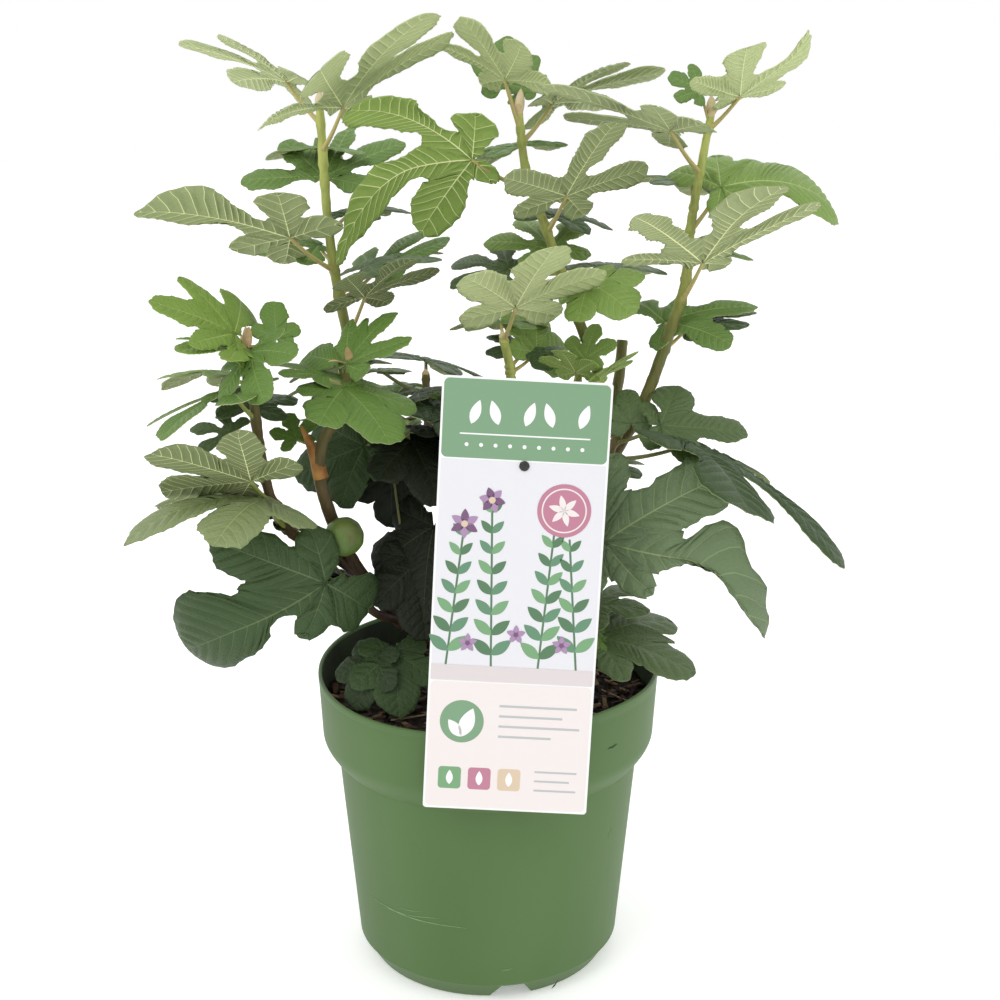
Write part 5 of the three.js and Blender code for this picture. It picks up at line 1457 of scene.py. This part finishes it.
SOIL_RINGS, SOIL_SIDES, BURIED_ROWS = 46, 150, 5
SOIL_TOP = SOIL["height"] - 1.2
SOIL_FALL, FALL_TO = 3.4, 104.0  # how far the soil falls from its dome to that distance from the axis
soil_edge = pot_radius(168) - POT["wall"] - 0.7
BURIED_GAP, STEP_GAP = 3.1, 3.2  # from the pot's outside to the buried soil, and that at the wall's step


def soil_height(x, y):
    """How high the lumpy soil lies at a place."""
    dome = SOIL["dome_radius"]
    share = (np.clip(np.hypot(x, y), dome, FALL_TO) - dome) / (FALL_TO - dome)
    lumps = 0.9 * np.sin(0.21 * x + 1) * np.sin(0.17 * y + 2) + 0.6 * np.sin(0.53 * x + 0.31 * y)
    lumps = lumps + 0.4 * np.sin(0.9 * x - 1.1 * y + 0.5)
    return SOIL_TOP - SOIL_FALL * share + lumps * 0.8


buried = [(0, POT_FLOOR + 0.3), (pot_radius(POT_FLOOR) - BURIED_GAP, POT_FLOOR + 0.3),
          (pot_radius(134) - BURIED_GAP, 134), (pot_radius(152) - STEP_GAP, 152), (soil_edge, 166)]
points, faces = turned(
    buried + [(soil_edge * (1 - i / SOIL_RINGS) ** 0.9, 170) for i in range(SOIL_RINGS + 1)], SOIL_SIDES
)
grain = np.random.default_rng(7).normal(0, 0.45, len(points))
open_rows = slice(BURIED_ROWS * SOIL_SIDES, None)
points[open_rows, 2] = (soil_height(points[:, 0], points[:, 1]) + grain)[open_rows]
points[-SOIL_SIDES:, 2] = points[-SOIL_SIDES:, 2].mean()
make_piece("soil_top", points, faces, [SOIL_CRUMB], slot="soil", replaces=["soil"])

CHIP_COUNT, STRAW_EVERY, CHIP_REACH, TRUNK_ROOM = 520, 17, 101, 22
STRAW_KIND, CHIP_KINDS = 3, [0, 0, 0, 1, 1, 2]
random = np.random.default_rng(211)
chips = Heap()
for i in range(CHIP_COUNT):
    r, a = CHIP_REACH * math.sqrt(random.uniform(0.02, 1)), random.uniform(0, 2 * math.pi)
    x, y = r * math.cos(a), r * math.sin(a)
    if math.hypot(x - TRUNK["x"], y - TRUNK["y"]) < TRUNK_ROOM:
        continue
    straw = i % STRAW_EVERY == 0
    if straw:
        size = [random.uniform(14, 30), 1.1, 0.8]
    else:
        size = [random.uniform(3.5, 12), random.uniform(2, 5), random.uniform(0.8, 2)]
    turn = random.uniform(0, 2 * math.pi)
    steepest = 0.12 if straw else 0.45
    tilt = random.uniform(-steepest, steepest)
    corners = np.array([
        (sx, sy, sz) for sx in (-0.5, 0.5) for sy, sz in ((-0.5, -0.5), (0.5, -0.5), (0.5, 0.5), (-0.5, 0.5))
    ])
    corners = corners * size * random.uniform(0.75, 1.2, corners.shape)
    along = np.array([math.cos(turn) * math.cos(tilt), math.sin(turn) * math.cos(tilt), math.sin(tilt)])
    side = np.array([-math.sin(turn), math.cos(turn), 0])
    points = corners @ np.stack([along, side, np.cross(along, side)])
    points = points + np.array([x, y, soil_height(x, y) + 0.6])
    if np.hypot(points[:, 0], points[:, 1]).max() <= soil_edge - 0.5:
        chips.add(points, BOX_FACES, STRAW_KIND if straw else int(random.choice(CHIP_KINDS)))
chips.piece("soil_chips", CHIPS, slot="soil", smooth=False)

# ---- The card, its pin and its stick ----

roll, lean = math.radians(CARD["roll"]), math.radians(CARD["lean"])
card_up = np.array([math.sin(roll), math.sin(lean) * math.cos(roll), math.cos(lean) * math.cos(roll)])
card_front = to_unit(np.cross([math.cos(roll), 0, -math.sin(roll)], card_up))
card_axes = np.stack([np.cross(card_up, card_front), card_up, card_front])
card_foot = np.array([
    CARD["foot_x"],
    CARD["rim_y"] - math.tan(lean) * (POT["rim_height"] - CARD["foot_height"]),
    CARD["foot_height"],
])


def on_card(points):
    """Places to the card's right, up and off its face, as places round the pot's axis."""
    return np.asarray(points, float) @ card_axes + card_foot


def around_spot(x, y, radius, start, end, steps):
    """Places on an arc from start to end in degrees, without its end."""
    angles = [math.radians(start + (end - start) * i / steps) for i in range(steps)]
    return [(x + radius * math.cos(a), y + radius * math.sin(a)) for a in angles]


def disc(x, y, radius, steps=40):
    return around_spot(x, y, radius, 0, 360, steps)


def rounded(x0, y0, x1, y1, corner, steps=6):
    """A rectangle with rounded corners."""
    spots = []
    turn = 90 * (steps + 1) / steps
    for cx, cy, start in ((x1 - corner, y0 + corner, -90), (x1 - corner, y1 - corner, 0),
                          (x0 + corner, y1 - corner, 90), (x0 + corner, y0 + corner, 180)):
        spots += around_spot(cx, cy, corner, start, start + turn, steps + 1)
    return spots


def leaf_mark(x, y, length, width, turn):
    """A plain pointed leaf from its foot at x, y."""
    spots = []
    for sign, places in ((1, range(12)), (-1, range(12, 0, -1))):
        for t in (i / 12 for i in places):
            spots.append((sign * width * math.sin(math.pi * t) ** 0.8 * (1 - 0.3 * t), length * t))
    c, s = math.cos(math.radians(turn)), math.sin(math.radians(turn))
    return [(x + px * c - py * s, y + px * s + py * c) for px, py in spots]


def bar(x0, y0, x1, y1, width):
    """A straight stroke as a rectangle."""
    dx, dy = x1 - x0, y1 - y0
    n = math.hypot(dx, dy)
    ox, oy = -dy / n * width / 2, dx / n * width / 2
    return [(x0 - ox, y0 - oy), (x1 - ox, y1 - oy), (x1 + ox, y1 + oy), (x0 + ox, y0 + oy)]


card_points, card_faces, card_kinds = [], [], []
INK_NAMES = list(INKS)
LAYER = 0.05  # the thickness of one layer of print


def prism(outline, low, high, ink):
    """A flat plate on the card's face with that outline, between two heights off the card's middle plane."""
    base, n = len(card_points), len(outline)
    if sum(outline[i - 1][0] * outline[i][1] - outline[i][0] * outline[i - 1][1] for i in range(n)) < 0:
        outline = outline[::-1]
    card_points.extend(on_card([(x, y, height) for height in (low, high) for x, y in outline]))
    card_faces.append([base + n + i for i in range(n)])
    card_faces.append([base + i for i in reversed(range(n))])
    for i in range(n):
        j = (i + 1) % n
        card_faces.append([base + i, base + j, base + n + j, base + n + i])
    card_kinds.extend([INK_NAMES.index(ink)] * (n + 2))


def printed(outline, layer, ink):
    prism(outline, face + LAYER * (layer - 1), face + LAYER * layer, ink)


def line_of_print(x, y, length, width):
    printed(bar(x, y, x + length, y, width), 2, "grey")


# Places on the card in millimetres from the middle of its foot.
half, tall, face = CARD["width"] / 2, CARD["height"], CARD["thickness"] / 2
HEADER, PANEL_FOOT, EDGE, GAP = 203, 76, 1.2, 0.8
prism(rounded(-half, 0, half, tall, CARD["corner"]), -face, face, "white")
printed(rounded(-half + EDGE, HEADER, half - EDGE, tall - EDGE, 3), 1, "green")
printed(rounded(-half + EDGE, PANEL_FOOT, half - EDGE, HEADER - GAP, 0.5), 1, "sky")
printed(rounded(-half + EDGE, EDGE, half - EDGE, PANEL_FOOT - GAP, 3), 1, "blush")
# The header: a row of leaves over a line and a row of dots.
for i in range(5):
    printed(leaf_mark(-30 + 15 * i, 222, 14, 3.4, 18 if i % 2 else -18), 2, "white")
printed(bar(-36, 216.5, 36, 216.5, 0.8), 2, "white")
for i in range(9):
    printed(disc(-32 + 8 * i, 210.5, 1.1, 16), 2, "white")
# The panel: four leafy sprigs, three of them in bloom, by their foot, height, lean and pairs of leaves.
SPRIGS = [(-38, 82, 84, 8, 7), (-12, 80, 100, -4, 8), (14, 80, 92, 6, 8), (36, 84, 76, -10, 6)]
tops = []
for number, (x, y, reach, tilt, pairs) in enumerate(SPRIGS):
    top_x = x + reach * math.tan(math.radians(tilt)) * 0.6
    tops.append((top_x, y + reach))
    printed(bar(x, y, top_x, y + reach, 1.2), 2, "moss")
    for i in range(pairs):
        share = (i + 1) / (pairs + 0.6)
        px, py = x + (top_x - x) * share, y + reach * share
        size = 15 * (1 - 0.45 * share)
        for sign in (-1, 1):
            ink = ("leaf_green", "deep_green", "moss")[(i + number + (sign > 0)) % 3]
            printed(leaf_mark(px, py, size, size * 0.26, sign * (52 - 12 * share)), 3, ink)
printed(rounded(-half + EDGE, PANEL_FOOT, half - EDGE, PANEL_FOOT + 9, 0.5), 4, "clay")
BADGE = (24, 176)
for layer, radius, ink in ((5, 15, "rose"), (6, 12.6, "blush"), (7, 11.8, "rose")):
    printed(disc(*BADGE, radius), layer, ink)
for i in range(6):
    printed(leaf_mark(*BADGE, 9, 2.1, 60 * i + 15), 8, "blush")
for number, top in enumerate(tops[:3]):
    for i in range(6):
        printed(leaf_mark(*top, 8.5 - number, 2.6, 60 * i + 20 * number), 5, ("plum", "lilac")[i % 2])
    printed(disc(*top, 1.9, 16), 6, "sand")
for blossom in ((-26, 98), (1, 104), (27, 99)):
    for i in range(5):
        printed(leaf_mark(*blossom, 5.6, 1.9, 72 * i), 5, "lilac")
    printed(disc(*blossom, 1.4, 12), 6, "plum")
# The foot: a round badge, three squares and plain lines.
printed(disc(-27, 52, 12.5), 2, "green")
printed(leaf_mark(-27, 43, 18, 5, -20), 3, "white")
printed(leaf_mark(-27, 43, 12.5, 3.6, 38), 3, "white")
for i, length in enumerate((44, 36, 46, 30)):
    line_of_print(-6, 62 - 6 * i, length, 1.3)
for i, ink in enumerate(("leaf_green", "rose", "sand")):
    x = -39 + 17 * i
    printed(rounded(x, 12, x + 13, 25, 2), 2, ink)
    printed(leaf_mark(x + 6.5, 14.5, 8.5, 2.3, 0), 3, "white")
for i, length in enumerate((24, 20, 24)):
    line_of_print(16, 24 - 5.5 * i, length, 1.1)
make_piece(
    "card_face", np.array(card_points), card_faces, CARD_SKINS, card_kinds,
    smooth=False, slot="card", replaces=["card"],
)

pin_foot = np.array([CARD["pin_side"], CARD["pin_up"], 0])
pin_centre = on_card(pin_foot)
shank_end = pin_centre[1] - (STICK["y"] - STICK["depth"] / 2 - 0.3)
profile = [(0, shank_end), (PIN["shank_radius"], shank_end), (PIN["shank_radius"], face),
           (PIN["head_radius"] - 0.2, face + 0.3)]
for i in range(8):
    a = math.radians(11 * (i + 1))
    profile.append((PIN["head_radius"] * math.cos(a), face + 0.5 + PIN["head_depth"] * math.sin(a) * 0.85))
points, faces = turned(profile, 28, closed=False)
make_piece("card_pin_head", on_card(points + pin_foot), faces, [BLACK_PLASTIC], slot="black_plastic",
           replaces=["card_pin"])

w, d = STICK["width"] / 2, STICK["depth"] / 2
section = rounded(-w, -d, w, d, 0.5, 3)
levels = [(STICK["foot"], 0.6), (STICK["foot"] + 1, 0.98)]
levels += [(h, 1.0 + 0.02 * math.sin(h)) for h in np.linspace(STICK["foot"] + 6, STICK["top"] - 6, 24)]
levels += [(STICK["top"] - 1, 0.97), (STICK["top"], 0.6)]
points = [(pin_centre[0] + x * s, STICK["y"] + y * s, h) for h, s in levels for x, y in section]
n = len(section)
faces = ring_faces(len(levels), n)[:, [0, 3, 2, 1]].tolist()
faces += [list(reversed(range(n))), list(range(len(points) - n, len(points)))]
make_piece("card_stick_body", points, faces, [BLACK_PLASTIC], slot="black_plastic", replaces=["card_stick"])

# ---- Floor and light ----

FLOOR_HALF, FLOOR_DROP = 40, 0.0005
pale_floor = Material("pale_floor", (245, 245, 245), 0.9, 0.1)
pale_floor.shader["Emission Color"].default_value = (1, 1, 1, 1)
pale_floor.shader["Emission Strength"].default_value = 0.3
floor_mesh = bpy.data.meshes.new("floor")
floor_mesh.from_pydata(
    [(x * FLOOR_HALF, y * FLOOR_HALF, 0) for x, y in ((-1, -1), (1, -1), (1, 1), (-1, 1))], [], [[0, 1, 2, 3]]
)
floor_mesh.materials.append(pale_floor.made)
floor = placed("floor", floor_mesh)
floor.location.z = -FLOOR_DROP

world = bpy.data.worlds.new("studio")
world.use_nodes = True
sky = world.node_tree.nodes["Background"].inputs
sky["Color"].default_value, sky["Strength"].default_value = (1, 1, 1, 1), 1.0
bpy.context.scene.world = world
bpy.context.scene.view_settings.view_transform = "Standard"

# Each lamp: its place and target in metres, its size and its power.
for name, place, target, size, power in (
    ("key", (-1.2, -1.6, 2.2), (0, 0, 0.3), 1.2, 13),
    ("fill", (1.8, -1.4, 1.4), (0, 0, 0.3), 1.8, 4),
    ("back", (0.4, 2.0, 2.0), (0, 0, 0.4), 1.6, 6),
):
    data = bpy.data.lights.new(name, "AREA")
    data.shape, data.size, data.energy = "DISK", size, power
    lamp = placed(name, data)
    lamp.location = place
    aim = mathutils.Vector(np.array(target) - np.array(place))
    lamp.rotation_euler = aim.to_track_quat("-Z", "Y").to_euler()
